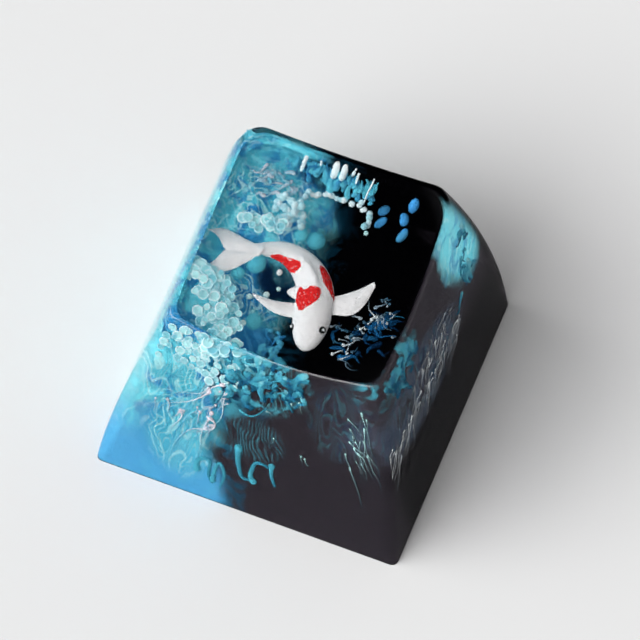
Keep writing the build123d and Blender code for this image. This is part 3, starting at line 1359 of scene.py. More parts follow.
def curls(
    rng: np.random.Generator, starts: np.ndarray, ways: np.ndarray, sway: np.ndarray, steps: np.ndarray
) -> np.ndarray:
    """Drifting paths: a straight run from each start, with two sines on every axis that set in along it.

    Args:
        rng: Source of the phases and rates.
        starts: First points, (paths, axes).
        ways: Whole runs, (paths, axes).
        sway: Reach of the sines on each axis, broadcast to (paths, axes).
        steps: Shares along the run.

    Returns:
        Points, (paths, steps, axes).
    """
    count, axes = starts.shape
    run = starts[:, None] + ways[:, None] * steps[None, :, None]
    phase = rng.uniform(0, 2 * np.pi, (count, 2, 1, axes))
    rate = rng.uniform(0.5, 1.1, (count, 2, 1, axes)) * np.array([1.0, 2.1])[None, :, None, None]
    wave = np.sin(2 * np.pi * rate * steps[None, None, :, None] + phase) - np.sin(phase)
    weight = np.array([1.0, 0.45])[None, :, None, None]
    return run + (wave * weight).sum(axis=1) * np.broadcast_to(sway, (count, axes))[:, None]


def scatter(rng: np.random.Generator, count: int, *axes: tuple[float, float]) -> np.ndarray:
    """Normal draws, one axis after another, by the mean and spread of each: (count, axes)."""
    return np.column_stack([rng.normal(mean, spread, count) for mean, spread in axes])


# Shares along a strand and its girth there: a knob with a long tail, and a fat finger of cloud.
KNOB_STEPS = np.array([0.0, 0.012, 0.035, 0.06, 0.1, 0.16, 0.26, 0.4, 0.55, 0.7, 0.85, 1.0])
KNOB_SHAPE = np.array([0.55, 0.9, 1.0, 0.82, 0.46, 0.32, 0.27, 0.25, 0.22, 0.18, 0.13, 0.05])
CLOUD_STEPS = np.array([0.0, 0.06, 0.16, 0.3, 0.45, 0.6, 0.78, 1.0])
CLOUD_SHAPE = np.array([0.5, 0.88, 1.0, 0.92, 0.7, 0.5, 0.32, 0.12])
# Radius and height shares from the lower end up: a dimpled disc, and a ball.
DISC = np.array([[0, -0.6], [0.8, -0.5], [1.0, 0.15], [0.94, 0.48], [0.84, 0.48], [0.74, 0.32], [0, 0.3]])
DROP = np.column_stack([np.cos(np.linspace(-1.57, 1.57, 7)), np.sin(np.linspace(-1.57, 1.57, 7))])


@dataclass
class DyeFilm(SwirlPiece):
    """Outermost film of the dyed pour: over its lining on the walls, out to the surface at the foot."""

    name: str = "dye_film"
    foot_inset: float = 0.03
    inset: float = 0.25
    crest_inset: float = 0.2
    thickness: float = 0.12
    foot_gap: float = 0.0015
    foot_share: float = 0.16
    crest_from: float = 0.55
    crest_gap: float = 0.02
    crest_waver: float = 0.006
    arc: int = 8
    flat: int = 26
    rows: int = 44

    def surface(self) -> Surface:
        """Band under the walls: out over the foot, up to a wavy crest at the edge, and back down inside."""
        form = self.form
        core, out = form.outline(self.arc, self.flat)
        columns = len(core)
        turn = 2 * np.pi * np.arange(columns) / columns
        waves = 0.5 * np.sin(5 * turn + 1.0) + 0.3 * np.sin(13 * turn) + 0.2 * np.sin(29 * turn + 2.0)
        crest = form.rim_share(core, out) - self.crest_gap - self.crest_waver * np.abs(waves)
        share = self.foot_gap + np.linspace(0.0, 1.0, self.rows)[:, None] * (crest - self.foot_gap)
        rise = np.clip(share / self.foot_share, 0, 1)
        near = np.clip((share - self.crest_from) / (crest - self.crest_from), 0, 1)
        inset = self.foot_inset + (self.inset - self.foot_inset) * rise * rise * (3 - 2 * rise)
        inset = inset + (self.crest_inset - self.inset) * near * near
        rows = np.concatenate([
            form.lift(core, out, share, inset),
            form.lift(core, out, share, inset + self.thickness)[::-1],
        ])
        count = len(rows)
        index = np.arange(count * columns).reshape(count, columns)
        right, above = np.roll(index, -1, axis=1), np.roll(index, -1, axis=0)
        quads = np.stack([index, right, np.roll(right, -1, axis=0), above], axis=-1).reshape(-1, 4)
        points = rows.reshape(-1, 3)
        walls = np.clip(1.5 - 2 * out[:, 1], 0, 1)
        mask = (np.arange(count) < self.rows)[:, None] * walls
        return Surface(points, quads, NO_TRIS, np.ones_like(points), mask.ravel())


@dataclass
class CloudBank(SwirlPiece):
    """Billows of dye over the solid bank at the left of the koi's pool."""

    name: str = "dye_bank"
    columns: int = 150
    rows: int = 170
    billow: float = 0.14
    shoulder: float = 0.45
    across: tuple[float, float] = (-6.5, 1.6)
    along: tuple[float, float] = (-5.4, 7.0)
    skin: float = 0.4
    depth: float = 0.6

    def ground(self, x: np.ndarray, y: np.ndarray) -> np.ndarray:
        """Height of the billows: two warped sines on the solid, a rise at the walls, none under the tail.

        Args:
            x, y: Places in plan.

        Returns:
            Heights.
        """
        solid = np.maximum(self.form.bank(x, y), self.form.hill(x, y))
        first = np.sin(2.1 * x + 1.3 * np.sin(1.4 * y))
        second = np.sin(2.7 * y + 1.1 * np.sin(1.9 * x))
        shore = np.clip((0.2 + 0.25 * y - x) / 2.5, 0, 1)
        left, front, back = (x + 6.3) / 0.8, (y + 5.1) / 0.7, (y - 7.2) / 0.9
        side = np.exp(-left ** 2) + np.exp(-front ** 2) + np.exp(-back ** 2)
        billows = self.billow * (1 + 0.55 * first + 0.45 * second) + self.shoulder * np.minimum(side, 1.0)
        tail_x, tail_y, _ = self.form.tail_pool
        open_pool = 1 - np.exp(-(((x - tail_x) / 2.1) ** 4) - ((y - tail_y) / 1.9) ** 4)
        return solid + shore * billows * open_pool - 0.08 * (1 - shore)

    def surface(self) -> Surface:
        """Upper sheet over the bank and a lower sheet hidden in it, joined along their border."""
        x, y = np.meshgrid(np.linspace(*self.across, self.columns), np.linspace(*self.along, self.rows))
        z = self.ground(x, y)
        index = np.arange(x.size).reshape(x.shape)
        cells = [index[:-1, :-1], index[:-1, 1:], index[1:, 1:], index[1:, :-1]]
        quads = np.stack(cells, axis=-1).reshape(-1, 4)
        border = np.concatenate([index[0, :-1], index[:-1, -1], index[-1, :0:-1], index[:0:-1, 0]])
        after = np.roll(border, -1)
        sides = np.stack([border + x.size, after + x.size, after, border], axis=-1)
        top = self.form.inside(np.stack([x, y, z], axis=-1), self.skin).reshape(-1, 3)
        points = np.concatenate([top, top - np.array([0.0, 0.0, self.depth])])
        faces = np.concatenate([quads, quads[:, ::-1] + x.size, sides])
        return Surface(points, faces, NO_TRIS, np.ones_like(points), np.zeros(len(points)))


@dataclass
class Cells(InkPiece):
    """Packed pale cells, grapes, beads and drops of ink over the bank and before the front wall."""

    name: str = "ink_cells"
    pitch: float = 0.42
    tail_cells: int = 22
    front_cells: int = 84
    grapes: int = 52
    chain: int = 26

    def discs(self, rng: np.random.Generator) -> Surface:
        """Dimpled discs under the dish, strewn about a line from the koi's tail to the front edge.

        Args:
            rng: Source of the draws.

        Returns:
            The discs as one surface.
        """
        rows, columns = np.meshgrid(np.arange(-5.3, 0.2, self.pitch), np.arange(-6.2, -1.5, self.pitch))
        lattice = np.concatenate([np.stack([columns, rows], axis=-1).reshape(-1, 2)] * 2)
        plan = lattice + rng.normal(0, 0.3 * self.pitch, lattice.shape)
        off_line = np.abs(0.877 * (plan[:, 0] + 5.2) + 0.48 * (plan[:, 1] + 0.9))
        plan = plan[off_line < rng.normal(0.95, 0.35, len(plan))]
        x = np.clip(plan[:, 0], -6.2, -1.6)
        limit = -0.8 - 0.22 * (x + 5.5)
        y = np.maximum(limit - np.abs(plan[:, 1] - limit), -5.3)
        above = np.array([-3.3, 2.65]) + rng.normal(0, 1, (self.tail_cells, 2)) * np.array([0.65, 0.24])
        x, y = np.concatenate([x, above[:, 0]]), np.concatenate([y, above[:, 1]])
        ground = CloudBank(self.form).ground(x, y)
        up = np.maximum(ground, self.form.dish(x, y) - rng.uniform(0.25, 1.0, len(x)))
        centres = self.form.inside(np.column_stack([x, y, up]), skin=0.2)
        return self.turned(rng, centres, low=0.14, high=0.38, way=np.array([0.15, -0.3, 1.0]), flat=0.32)

    def front_discs(self, rng: np.random.Generator) -> Surface:
        """The same cells flat behind the upper front wall.

        Args:
            rng: Source of the draws.

        Returns:
            The discs as one surface.
        """
        up = rng.normal(9.5, 0.95, self.front_cells)
        across = rng.normal(-4.0, 1.0, self.front_cells) + 0.25 * (9.5 - up)
        depth = rng.uniform(0.12, 0.22, self.front_cells)
        centres = self.form.under(Face.FRONT, across, np.minimum(up, 10.75), depth)
        centres = self.form.inside(centres, skin=0.12)
        return self.turned(rng, centres, low=0.12, high=0.34, way=np.array([0.0, -0.93, 0.36]), flat=0.26)

    def turned(
        self,
        rng: np.random.Generator,
        centres: np.ndarray,
        low: float,
        high: float,
        way: np.ndarray,
        flat: float,
    ) -> Surface:
        """Discs at given middles, each pale at its rim and darker in its dimple.

        Args:
            rng: Source of sizes, leans and colours.
            centres: Middles, (discs, 3).
            low, high: Range of the radius.
            way: Mean axis.
            flat: Half height as a share of the radius.

        Returns:
            The discs as one surface.
        """
        count = len(centres)
        axes = way + rng.normal(0, 0.9 * flat * flat, (count, 3))
        radius = rng.uniform(low, high, count)
        pale = rng.random(count)
        rim = between(Ink.CYAN, Ink.CHALK, 0.35 + 0.5 * pale)
        body = between(Ink.TURQUOISE, Ink.MINT, 0.25 + 0.6 * pale)
        share = np.array([0.0, 0.0, 0.5, 1.0, 1.0, 0.0, 0.0])[None, :, None]
        tints = body[:, None] * (1 - share) + rim[:, None] * share
        return beads(centres, axes, np.column_stack([radius, radius * flat]), DISC, tints, sides=8)

    def drops(self, rng: np.random.Generator) -> Surface:
        """Grapes, bead chain, larger balls, pale drops and blue blobs, each clear of the pool's floor and
        with painted shade towards its lower end.

        Args:
            rng: Source of the draws.

        Returns:
            The drops as one surface.
        """
        bunch = np.array([-2.5, 4.25]) + rng.normal(0, 1, (self.grapes, 2)) * np.array([0.46, 0.38])
        knots = np.array([
            [-2.3, 5.5], [-1.5, 6.15], [-0.4, 6.4], [0.6, 6.4], [1.3, 6.25], [1.75, 5.7], [1.7, 5.2],
        ])
        chain = smooth_path(knots, np.linspace(0, 1, self.chain)) + rng.normal(0, 0.07, (self.chain, 2))
        balls = np.array([[-3.2, 0.75], [-0.75, 3.75], [-2.15, -2.2], [-1.55, 3.5], [-3.9, -0.2]])
        pale = np.array([
            [-1.9, 1.05], [-1.55, 0.05], [-2.05, -0.55], [-2.9, -1.0], [-2.6, -2.7], [1.75, 5.2], [1.65, 5.7],
        ])
        blue = np.array([
            [2.2, 6.9], [3.5, 6.75], [3.6, 6.4], [3.8, 5.9], [2.3, 6.1], [3.75, 5.75], [4.0, 6.6],
        ])
        plan = np.concatenate([bunch, chain, balls, pale, blue])
        level = np.concatenate([
            rng.uniform(9.1, 9.8, self.grapes),
            rng.uniform(9.8, 10.1, self.chain),
            np.full(len(balls), 8.5),
            np.full(len(pale), 9.2),
            np.array([9.3, 9.6, 9.9, 9.3, 9.3, 9.2, 11.6]),
        ])
        sizes = np.concatenate([
            rng.uniform(0.15, 0.26, self.grapes),
            rng.uniform(0.11, 0.21, self.chain),
            np.array([0.6, 0.55, 0.5, 0.42, 0.4]),
            rng.uniform(0.13, 0.2, len(pale)),
            rng.uniform(0.18, 0.3, len(blue)),
        ])
        stack = np.concatenate([rng.uniform(0.0, 2.6, self.grapes), np.zeros(len(sizes) - self.grapes)])
        up = np.maximum(level, CloudBank(self.form).ground(plan[:, 0], plan[:, 1]) + (0.4 + stack) * sizes)
        centres = self.form.inside(np.column_stack([plan, up]), skin=0.45)
        tone = np.concatenate([
            between(Ink.CYAN, Ink.CHALK, 0.25 + 0.45 * rng.random(self.grapes)),
            between(Ink.CYAN, Ink.CHALK, rng.random(self.chain) ** 0.5),
            between(Ink.TURQUOISE, Ink.CYAN, rng.random(len(balls))),
            between(Ink.MINT, Ink.CHALK, rng.random(len(pale))),
            between(Ink.BLUE, Ink.SKY, rng.random(len(blue))),
        ])
        plain = len(sizes) - len(blue)
        longer = np.concatenate([rng.uniform(0.9, 1.1, plain), rng.uniform(1.2, 2.0, len(blue))])
        axes = np.array([0.1, 0.5, 0.3]) + rng.normal(0, 0.4, (len(sizes), 3))
        # painted shade: each drop darker towards the lower end of its axis
        shade = np.linspace(0.8, 1.0, len(DROP))[None, :, None]
        spans = np.column_stack([sizes, sizes * longer])
        return beads(centres, axes, spans, DROP, tone[:, None] * shade, sides=10)

    def surface(self) -> Surface:
        """All cells and drops."""
        rng = np.random.default_rng(self.seed)
        return Surface.joined([self.discs(rng), self.front_discs(rng), self.drops(rng)])


@dataclass
class FrontThreads(InkPiece):
    """Knob-headed threads, hooks and flecks just under the front wall."""

    name: str = "ink_front_threads"
    knobs: int = 22
    sweeps: int = 18
    corner: int = 18

    def routed(self, routes: Sequence, steps: np.ndarray, depth: float) -> np.ndarray:
        """Paths under the front wall, each a spline through its route's knots.

        Args:
            routes: Knots of each path, X and Z.
            steps: Shares along the paths.
            depth: Depth under the wall.

        Returns:
            Points, (routes, steps, 3).
        """
        plan = np.stack([smooth_path(np.array(route), steps) for route in routes])
        return self.form.under(Face.FRONT, plan[..., 0], plan[..., 1], np.full(plan.shape[:2], depth))

    def hooks(self) -> Surface:
        """Turquoise hooks low on the front, each with a round head."""
        routes = [
            [(-3.12, 1.77), (-3.04, 2.69), (-2.55, 2.88), (-2.41, 1.7), (-2.14, 1.2)],
            [(-2.14, 1.35), (-2.08, 2.34), (-1.89, 2.88), (-1.56, 2.38), (-1.65, 1.13), (-1.69, 0.4)],
            [(-0.92, 4.58), (-0.88, 3.8), (-0.69, 2.95), (-0.38, 2.42), (0.03, 2.46)],
            [(0.3, 2.35), (0.03, 2.7), (0.05, 3.3), (0.25, 3.84), (0.7, 3.88), (1.06, 3.75)],
            [(1.15, 4.08), (1.17, 3.49), (1.52, 2.61)],
            [(-1.22, 6.97), (-0.59, 6.81), (-0.05, 7.21), (0.26, 7.7)],
        ]
        girth = np.array([0.17, 0.15, 0.2, 0.17, 0.16, 0.07])
        steps = np.linspace(0, 1, 26)
        paths = self.routed(routes, steps, 0.24)
        swell = 1 + 0.35 * np.exp(-((steps - 0.05) / 0.06) ** 2) - 0.5 * steps
        tints = between(Ink.TURQUOISE, Ink.TEAL, np.broadcast_to(0.7 * steps, paths.shape[:2]))
        return strands(paths, girth[:, None] * swell, tints, sides=9)

    def trail(
        self,
        rng: np.random.Generator,
        starts: np.ndarray,
        ways: np.ndarray,
        size: np.ndarray,
        tail: Ink,
        head: Ink,
    ) -> Surface:
        """Knob-headed threads by their starts and runs over the front wall.

        Args:
            rng: Source of the drift and paleness.
            starts: First places, X and Z, (threads, 2).
            ways: Whole runs, (threads, 2).
            size: Radius of each head.
            tail, head: Inks at the two ends.

        Returns:
            The threads as one surface.
        """
        count = len(starts)
        plan = curls(rng, starts, ways, np.array([0.08, 0.06]), KNOB_STEPS)
        depth = np.clip(rng.uniform(0.08, 0.2, (count, 1)) + 0.06 * KNOB_STEPS, size[:, None] + 0.02, 0.26)
        points = self.form.under(Face.FRONT, plan[..., 0], np.maximum(plan[..., 1], 0.5), depth)
        pale = np.clip(1 - KNOB_STEPS * 1.1, 0, 1)[None] * rng.uniform(0.6, 1.0, (count, 1))
        return strands(points, size[:, None] * KNOB_SHAPE, between(tail, head, pale), sides=6)

    def stems(self) -> Surface:
        """Long pale threads with broad heads, swung out to the left."""
        routes = [
            [(-2.02, 7.91), (-2.18, 7.38), (-2.15, 6.45), (-2.34, 5.73), (-2.9, 5.2)],
            [
                (-2.97, 5.85), (-2.6, 5.7), (-2.45, 5.4), (-2.8, 5.0),
                (-3.5, 4.8), (-4.3, 4.0), (-4.75, 2.8), (-4.85, 1.85),
            ],
            [(-4.57, 5.73), (-4.45, 5.29), (-4.79, 4.58), (-5.1, 3.38)],
            [(-2.75, 6.29), (-2.84, 5.81), (-3.16, 4.62), (-3.12, 3.65), (-3.37, 2.49)],
            [(-2.3, 8.3), (-2.9, 7.9), (-3.6, 7.2), (-4.6, 6.9), (-5.6, 6.2)],
            [(-3.0, 7.6), (-3.5, 7.0), (-4.4, 6.3), (-5.5, 5.7), (-6.1, 4.8)],
        ]
        steps = np.linspace(0, 1, 40)
        paths = self.routed(routes, steps, 0.17)
        girth = 0.055 * (1.1 - steps) + 0.09 * np.exp(-(((steps - 0.03) / 0.035) ** 2))
        tints = between(Ink.ROSE_WHITE, Ink.CYAN, np.broadcast_to(steps, paths.shape[:2]))
        return strands(paths, np.broadcast_to(girth, paths.shape[:2]), tints, sides=7)

    def heads(self, rng: np.random.Generator) -> Surface:
        """Pale knobs in a few bunches, their short threads trailing down to the left.

        Args:
            rng: Source of the draws.

        Returns:
            The knobs as one surface.
        """
        bunches = np.array([
            (-2.1, 7.8), (-2.3, 6.6), (-2.8, 5.9), (-3.3, 6.3),
            (-4.5, 5.8), (-2.6, 5.3), (-5.8, 6.1), (-3.1, 8.1),
        ])
        starts = bunches[rng.integers(0, len(bunches), self.knobs)] + rng.normal(0, 0.26, (self.knobs, 2))
        ways = np.column_stack([rng.normal(-0.5, 0.3, self.knobs), -rng.uniform(0.5, 1.5, self.knobs)])
        size = rng.uniform(0.08, 0.15, self.knobs)
        return self.trail(rng, starts, ways, size, Ink.TURQUOISE, Ink.ROSE_WHITE)

    def sweep(self, rng: np.random.Generator) -> Surface:
        """Long fine threads that fall from the cells and sweep out over the blue.

        Args:
            rng: Source of the draws.

        Returns:
            The threads as one surface.
        """
        count = self.sweeps
        starts = np.column_stack([rng.uniform(-5.8, -2.4, count), rng.uniform(5.2, 8.2, count)])
        ways = np.column_stack([rng.normal(-1.1, 0.4, count), -rng.uniform(1.6, 3.4, count)])
        return self.trail(rng, starts, ways, rng.uniform(0.04, 0.08, count), Ink.SKY, Ink.CYAN)

    def dark_corner(self, rng: np.random.Generator) -> Surface:
        """Blue-white threads that hang by the right-hand corner, and a few flecks.

        Args:
            rng: Source of the draws.

        Returns:
            The threads as one surface.
        """
        starts = np.array([5.45, 7.6]) + rng.normal(0, 1, (self.corner, 2)) * np.array([0.45, 0.8])
        ways = np.column_stack([rng.normal(1.1, 0.3, self.corner), -rng.uniform(1.2, 3.8, self.corner)])
        flecks = np.array([(2.73, 5.49), (2.92, 5.37), (0.97, 6.0), (1.6, 8.6), (2.0, 8.8), (0.3, 7.6)])
        drift = np.column_stack([rng.normal(0.25, 0.15, len(flecks)), -rng.uniform(0.4, 0.9, len(flecks))])
        size = np.concatenate([rng.uniform(0.03, 0.09, self.corner), rng.uniform(0.06, 0.1, len(flecks))])
        starts, ways = np.concatenate([starts, flecks]), np.concatenate([ways, drift])
        return self.trail(rng, starts, ways, size, Ink.DEEP, Ink.MINT)

    def surface(self) -> Surface:
        """All of the front's threads."""
        rng = np.random.default_rng(self.seed)
        strewn = [self.heads(rng), self.sweep(rng), self.dark_corner(rng)]
        return Surface.joined([self.hooks(), self.stems(), *strewn])


@dataclass
class CloudKnobs(InkPiece):
    """Soft turquoise knobs behind the upper front wall and under the right wall's upper edge."""

    name: str = "ink_cloud_knobs"
    front: int = 40
    side: int = 34

    def finish(self) -> bpy.types.Material:
        """Ink with stronger marbling."""
        return InkFinish(self.name, marbling=0.65).material()

    def knobs(
        self,
        rng: np.random.Generator,
        face: Face,
        starts: np.ndarray,
        size: np.ndarray,
        fade: np.ndarray,
    ) -> Surface:
        """Short fat knobs half sunk in the film, each pale head lifted by a painted highlight.

        Args:
            rng: Source of the drift.
            face: Wall that they lie under.
            starts: First places, along the wall and up, (knobs, 2).
            size: Radius of each head.
            fade: How far each goes to teal from the start.

        Returns:
            The knobs as one surface.
        """
        count = len(starts)
        ways = np.column_stack([rng.normal(-0.1, 0.35, count), -rng.uniform(0.3, 1.0, count)])
        plan = curls(rng, starts, ways, np.array([0.2, 0.14]), CLOUD_STEPS)
        girth = size[:, None] * np.maximum(CLOUD_SHAPE, 0.4)
        points = self.form.under(face, plan[..., 0], plan[..., 1], girth + 0.05)
        points = self.form.inside(points, skin=0.14)
        tone = np.clip(0.8 * CLOUD_STEPS + fade[:, None], 0, 1)
        # painted highlight: a mint lift at the pale head of each knob
        painted_highlight = between(Ink.CYAN, Ink.MINT, 0.5 * np.exp(-((tone / 0.2) ** 2))) - Ink.CYAN.linear
        pale = between(Ink.CYAN, Ink.TURQUOISE, np.clip(2.2 * tone, 0, 1)) + painted_highlight
        deep = between(Ink.TURQUOISE, Ink.TEAL, np.clip(1.8 * tone - 0.8, 0, 1))
        tints = np.where((tone < 0.45)[..., None], pale, deep)
        return strands(points, girth, tints, sides=9)

    def surface(self) -> Surface:
        """Knobs of both walls."""
        rng = np.random.default_rng(self.seed)
        across = rng.uniform(-2.7, 2.3, self.front)
        strip = np.column_stack([across, rng.uniform(8.3 + 0.25 * across, 10.6, self.front)])
        strip_fade = 0.7 * rng.random(self.front) * (0.5 + 0.5 * np.clip((across + 2.7) / 5.0, 0, 1))
        back = rng.random(self.side) < 0.5
        along = np.where(back, rng.normal(5.9, 0.7, self.side), rng.uniform(-4.6, -0.6, self.side))
        up = np.where(back, rng.uniform(7.6, 12.0, self.side), rng.uniform(9.6, 11.0, self.side))
        edge = np.column_stack([along, up])
        edge_fade = np.where(back, rng.uniform(0.0, 0.5, self.side), rng.uniform(0.2, 0.8, self.side))
        return Surface.joined([
            self.knobs(rng, Face.FRONT, strip, rng.uniform(0.14, 0.42, self.front), strip_fade),
            self.knobs(rng, Face.RIGHT, edge, rng.uniform(0.1, 0.3, self.side), edge_fade),
        ])


@dataclass
class SideStreaks(InkPiece):
    """Fine chalky threads under the right wall."""

    name: str = "ink_side_streaks"
    threads: int = 110

    def surface(self) -> Surface:
        """Thin curls along two lines level with the rim, drawn out to the front and down."""
        rng = np.random.default_rng(self.seed)
        count = self.threads
        lane = rng.random(count) < 0.62
        along = np.where(lane, rng.uniform(-6.0, 3.8, count), rng.uniform(-2.6, 3.0, count))
        up = np.where(lane, 6.7, 8.3) + rng.normal(0, 0.32, count)
        ways = scatter(rng, count, (-1.2, 0.4), (-0.9, 0.35))
        plan = curls(rng, np.column_stack([along, up]), ways, np.array([0.13, 0.13]), KNOB_STEPS)
        depth = np.clip(rng.uniform(0.06, 0.2, (count, 1)) + 0.05 * KNOB_STEPS, 0.06, 0.23)
        points = self.form.under(Face.RIGHT, plan[..., 0], plan[..., 1], depth)
        size = rng.uniform(0.02, 0.085, count)
        pale = (1 - 0.8 * KNOB_STEPS) * rng.uniform(0.2, 1.0, (count, 1)) ** 1.6
        return strands(points, size[:, None] * KNOB_SHAPE ** 0.7, between(Ink.HAZE, Ink.CHALK, pale), sides=5)


@dataclass
class TopStrands(InkPiece):
    """Blue-white strands in the dark right of the koi, and bright strokes before the back wall."""

    name: str = "ink_top_strands"
    webs: int = 40
    wisps: int = 26
    grasses: int = 84
    hooks: int = 14
    glints: int = 34
    drifts: int = 30

    def web(self, rng: np.random.Generator) -> Surface:
        """Strands strung about a line from the koi's head to the right wall.

        Args:
            rng: Source of the draws.

        Returns:
            The strands as one surface.
        """
        count = self.webs
        place = rng.random(count)
        line = np.column_stack([2.6 + 2.3 * place, -2.4 + 3.0 * place])
        plan = line + rng.normal(0, 0.5, (count, 2))
        starts = np.column_stack([plan, rng.uniform(8.8, 9.6, count)])
        ways = scatter(rng, count, (0.35, 0.4), (0.3, 0.4), (0.0, 0.15))
        paths = curls(rng, starts, ways, np.array([0.1, 0.1, 0.06]), KNOB_STEPS)
        paths = self.form.inside(paths, skin=0.8)
        size = rng.uniform(0.05, 0.15, count)
        pale = rng.uniform(0.1, 1.0, (count, 1)) ** 2 * (1 - 0.8 * KNOB_STEPS)
        return strands(paths, size[:, None] * KNOB_SHAPE ** 0.8, between(Ink.TEAL, Ink.CHALK, pale), sides=6)

    def veil(self, rng: np.random.Generator) -> Surface:
        """Broad dim wisps among the web.

        Args:
            rng: Source of the draws.

        Returns:
            The wisps as one surface.
        """
        count = self.wisps
        place = rng.random(count)
        plan = np.column_stack([2.5 + 2.4 * place, -2.5 + 3.1 * place]) + rng.normal(0, 0.55, (count, 2))
        starts = np.column_stack([plan, rng.uniform(8.5, 8.9, count)])
        ways = scatter(rng, count, (0.5, 0.5), (0.35, 0.5), (0.0, 0.1))
        paths = curls(rng, starts, ways, np.array([0.14, 0.14, 0.05]), CLOUD_STEPS)
        paths = self.form.inside(paths, skin=0.8)
        size = rng.uniform(0.07, 0.18, count)
        tone = np.clip(0.1 + rng.random((count, 1)) + 0.6 * CLOUD_STEPS, 0, 1)
        return strands(paths, size[:, None] * CLOUD_SHAPE, between(Ink.OCEAN, Ink.DEEP, tone), sides=7)

    def drift(self, rng: np.random.Generator) -> Surface:
        """Pale knob-headed streaks that drift over the bank at the back left.

        Args:
            rng: Source of the draws.

        Returns:
            The streaks as one surface.
        """
        count = self.drifts
        plan = np.column_stack([rng.uniform(-4.9, -2.2, count), rng.normal(5.3, 0.45, count)])
        up = CloudBank(self.form).ground(plan[:, 0], plan[:, 1]) + rng.uniform(0.1, 0.4, count)
        ways = scatter(rng, count, (-0.8, 0.3), (-0.1, 0.3), (0.0, 0.06))
        paths = curls(rng, np.column_stack([plan, up]), ways, np.array([0.12, 0.14, 0.04]), CLOUD_STEPS)
        pale = rng.uniform(0.1, 0.8, (count, 1)) * (1 - 0.9 * CLOUD_STEPS)
        size = rng.uniform(0.05, 0.15, count)
        tints = between(Ink.TURQUOISE, Ink.ROSE_WHITE, pale)
        girth = size[:, None] * np.maximum(CLOUD_SHAPE, 0.3)
        return strands(self.form.inside(paths, skin=0.5), girth, tints, sides=6)

    def glitter(self, rng: np.random.Generator) -> Surface:
        """Short bright dashes in a row close under the back edge.

        Args:
            rng: Source of the draws.

        Returns:
            The dashes as one surface.
        """
        count = self.glints
        starts = np.column_stack([
            rng.uniform(-2.6, 2.8, count), np.full(count, 7.0), rng.uniform(12.3, 12.8, count),
        ])
        ways = np.column_stack([rng.uniform(0.06, 0.4, count), np.zeros(count), rng.normal(0, 0.05, count)])
        paths = curls(rng, starts, ways, np.array([0.02, 0.02, 0.03]), CLOUD_STEPS)
        paths = self.form.inside(paths, skin=0.46)
        pale = np.broadcast_to(rng.random((count, 1)), paths.shape[:2])
        size = rng.uniform(0.03, 0.08, count)
        return strands(paths, size[:, None] * CLOUD_SHAPE, between(Ink.CYAN, Ink.CHALK, pale), sides=6)

    def grass(self, rng: np.random.Generator) -> Surface:
        """Upright cyan wisps before the back wall.

        Args:
            rng: Source of the draws.

        Returns:
            The wisps as one surface.
        """
        count = self.grasses
        starts = np.column_stack([
            rng.uniform(-3.4, 1.4, count), rng.normal(6.85, 0.15, count), rng.uniform(9.8, 11.2, count),
        ])
        ways = np.column_stack([scatter(rng, count, (0.2, 0.2), (0.15, 0.15)), rng.uniform(0.8, 2.2, count)])
        paths = curls(rng, starts, ways, np.array([0.1, 0.08, 0.1]), CLOUD_STEPS)
        paths = self.form.inside(paths, skin=0.6)
        size = rng.uniform(0.1, 0.22, count)
        tone = np.clip(rng.random((count, 1)) * 0.7 + 0.4 * CLOUD_STEPS, 0, 1)
        return strands(paths, size[:, None] * CLOUD_SHAPE, between(Ink.CYAN, Ink.OCEAN, tone ** 2.0), sides=7)

    def lee(self, rng: np.random.Generator) -> Surface:
        """Short cyan hooks beside the koi's head.

        Args:
            rng: Source of the draws.

        Returns:
            The hooks as one surface.
        """
        count = self.hooks
        plan = np.column_stack([rng.uniform(-1.3, -0.1, count), rng.uniform(-4.2, -2.0, count)])
        up = CloudBank(self.form).ground(plan[:, 0], plan[:, 1]) + rng.uniform(0.15, 0.4, count)
        ways = np.column_stack([
            rng.normal(0.1, 0.3, count), -rng.uniform(0.3, 0.9, count), rng.normal(0, 0.05, count),
        ])
        paths = curls(rng, np.column_stack([plan, up]), ways, np.array([0.2, 0.2, 0.03]), CLOUD_STEPS)
        tone = np.clip(0.5 * rng.random((count, 1)) + 0.8 * CLOUD_STEPS, 0, 1)
        size = rng.uniform(0.09, 0.19, count)
        tints = between(Ink.CYAN, Ink.OCEAN, tone)
        return strands(self.form.inside(paths, skin=0.6), size[:, None] * CLOUD_SHAPE, tints, sides=7)

    def strokes(self, rng: np.random.Generator) -> Surface:
        """Two fat white bars that lean out from the back wall, with finer strokes and threads beside them.

        Args:
            rng: Source of the draws.

        Returns:
            The strokes as one surface.
        """
        across = np.array([-0.72, -0.24, 0.36, 0.62, -2.5, -1.6, 1.55])
        girth = np.array([0.21, 0.19, 0.1, 0.07, 0.12, 0.07, 0.05])
        reach = np.array([0.85, 0.8, 0.4, 0.75, 1.0, 0.45, 1.5])
        count = len(across)
        starts = np.column_stack([across, np.full(count, 6.95), np.full(count, 12.95)])
        ways = np.column_stack([-0.15 * reach, -0.8 * reach, -0.9 * reach])
        steps = np.linspace(0, 1, 12)
        paths = curls(rng, starts, ways, np.array([0.02, 0.02, 0.01]), steps)
        shape = np.minimum(1.0, 0.55 + 4 * steps * (1 - steps))
        tints = between(Ink.CHALK, Ink.CYAN, np.broadcast_to(0.3 * steps, paths.shape[:2]))
        return strands(self.form.inside(paths, skin=0.36), girth[:, None] * shape, tints, sides=9)

    def surface(self) -> Surface:
        """All strands under the top."""
        rng = np.random.default_rng(self.seed)
        kinds = [self.web, self.veil, self.grass, self.strokes, self.glitter, self.drift, self.lee]
        return Surface.joined([kind(rng) for kind in kinds])


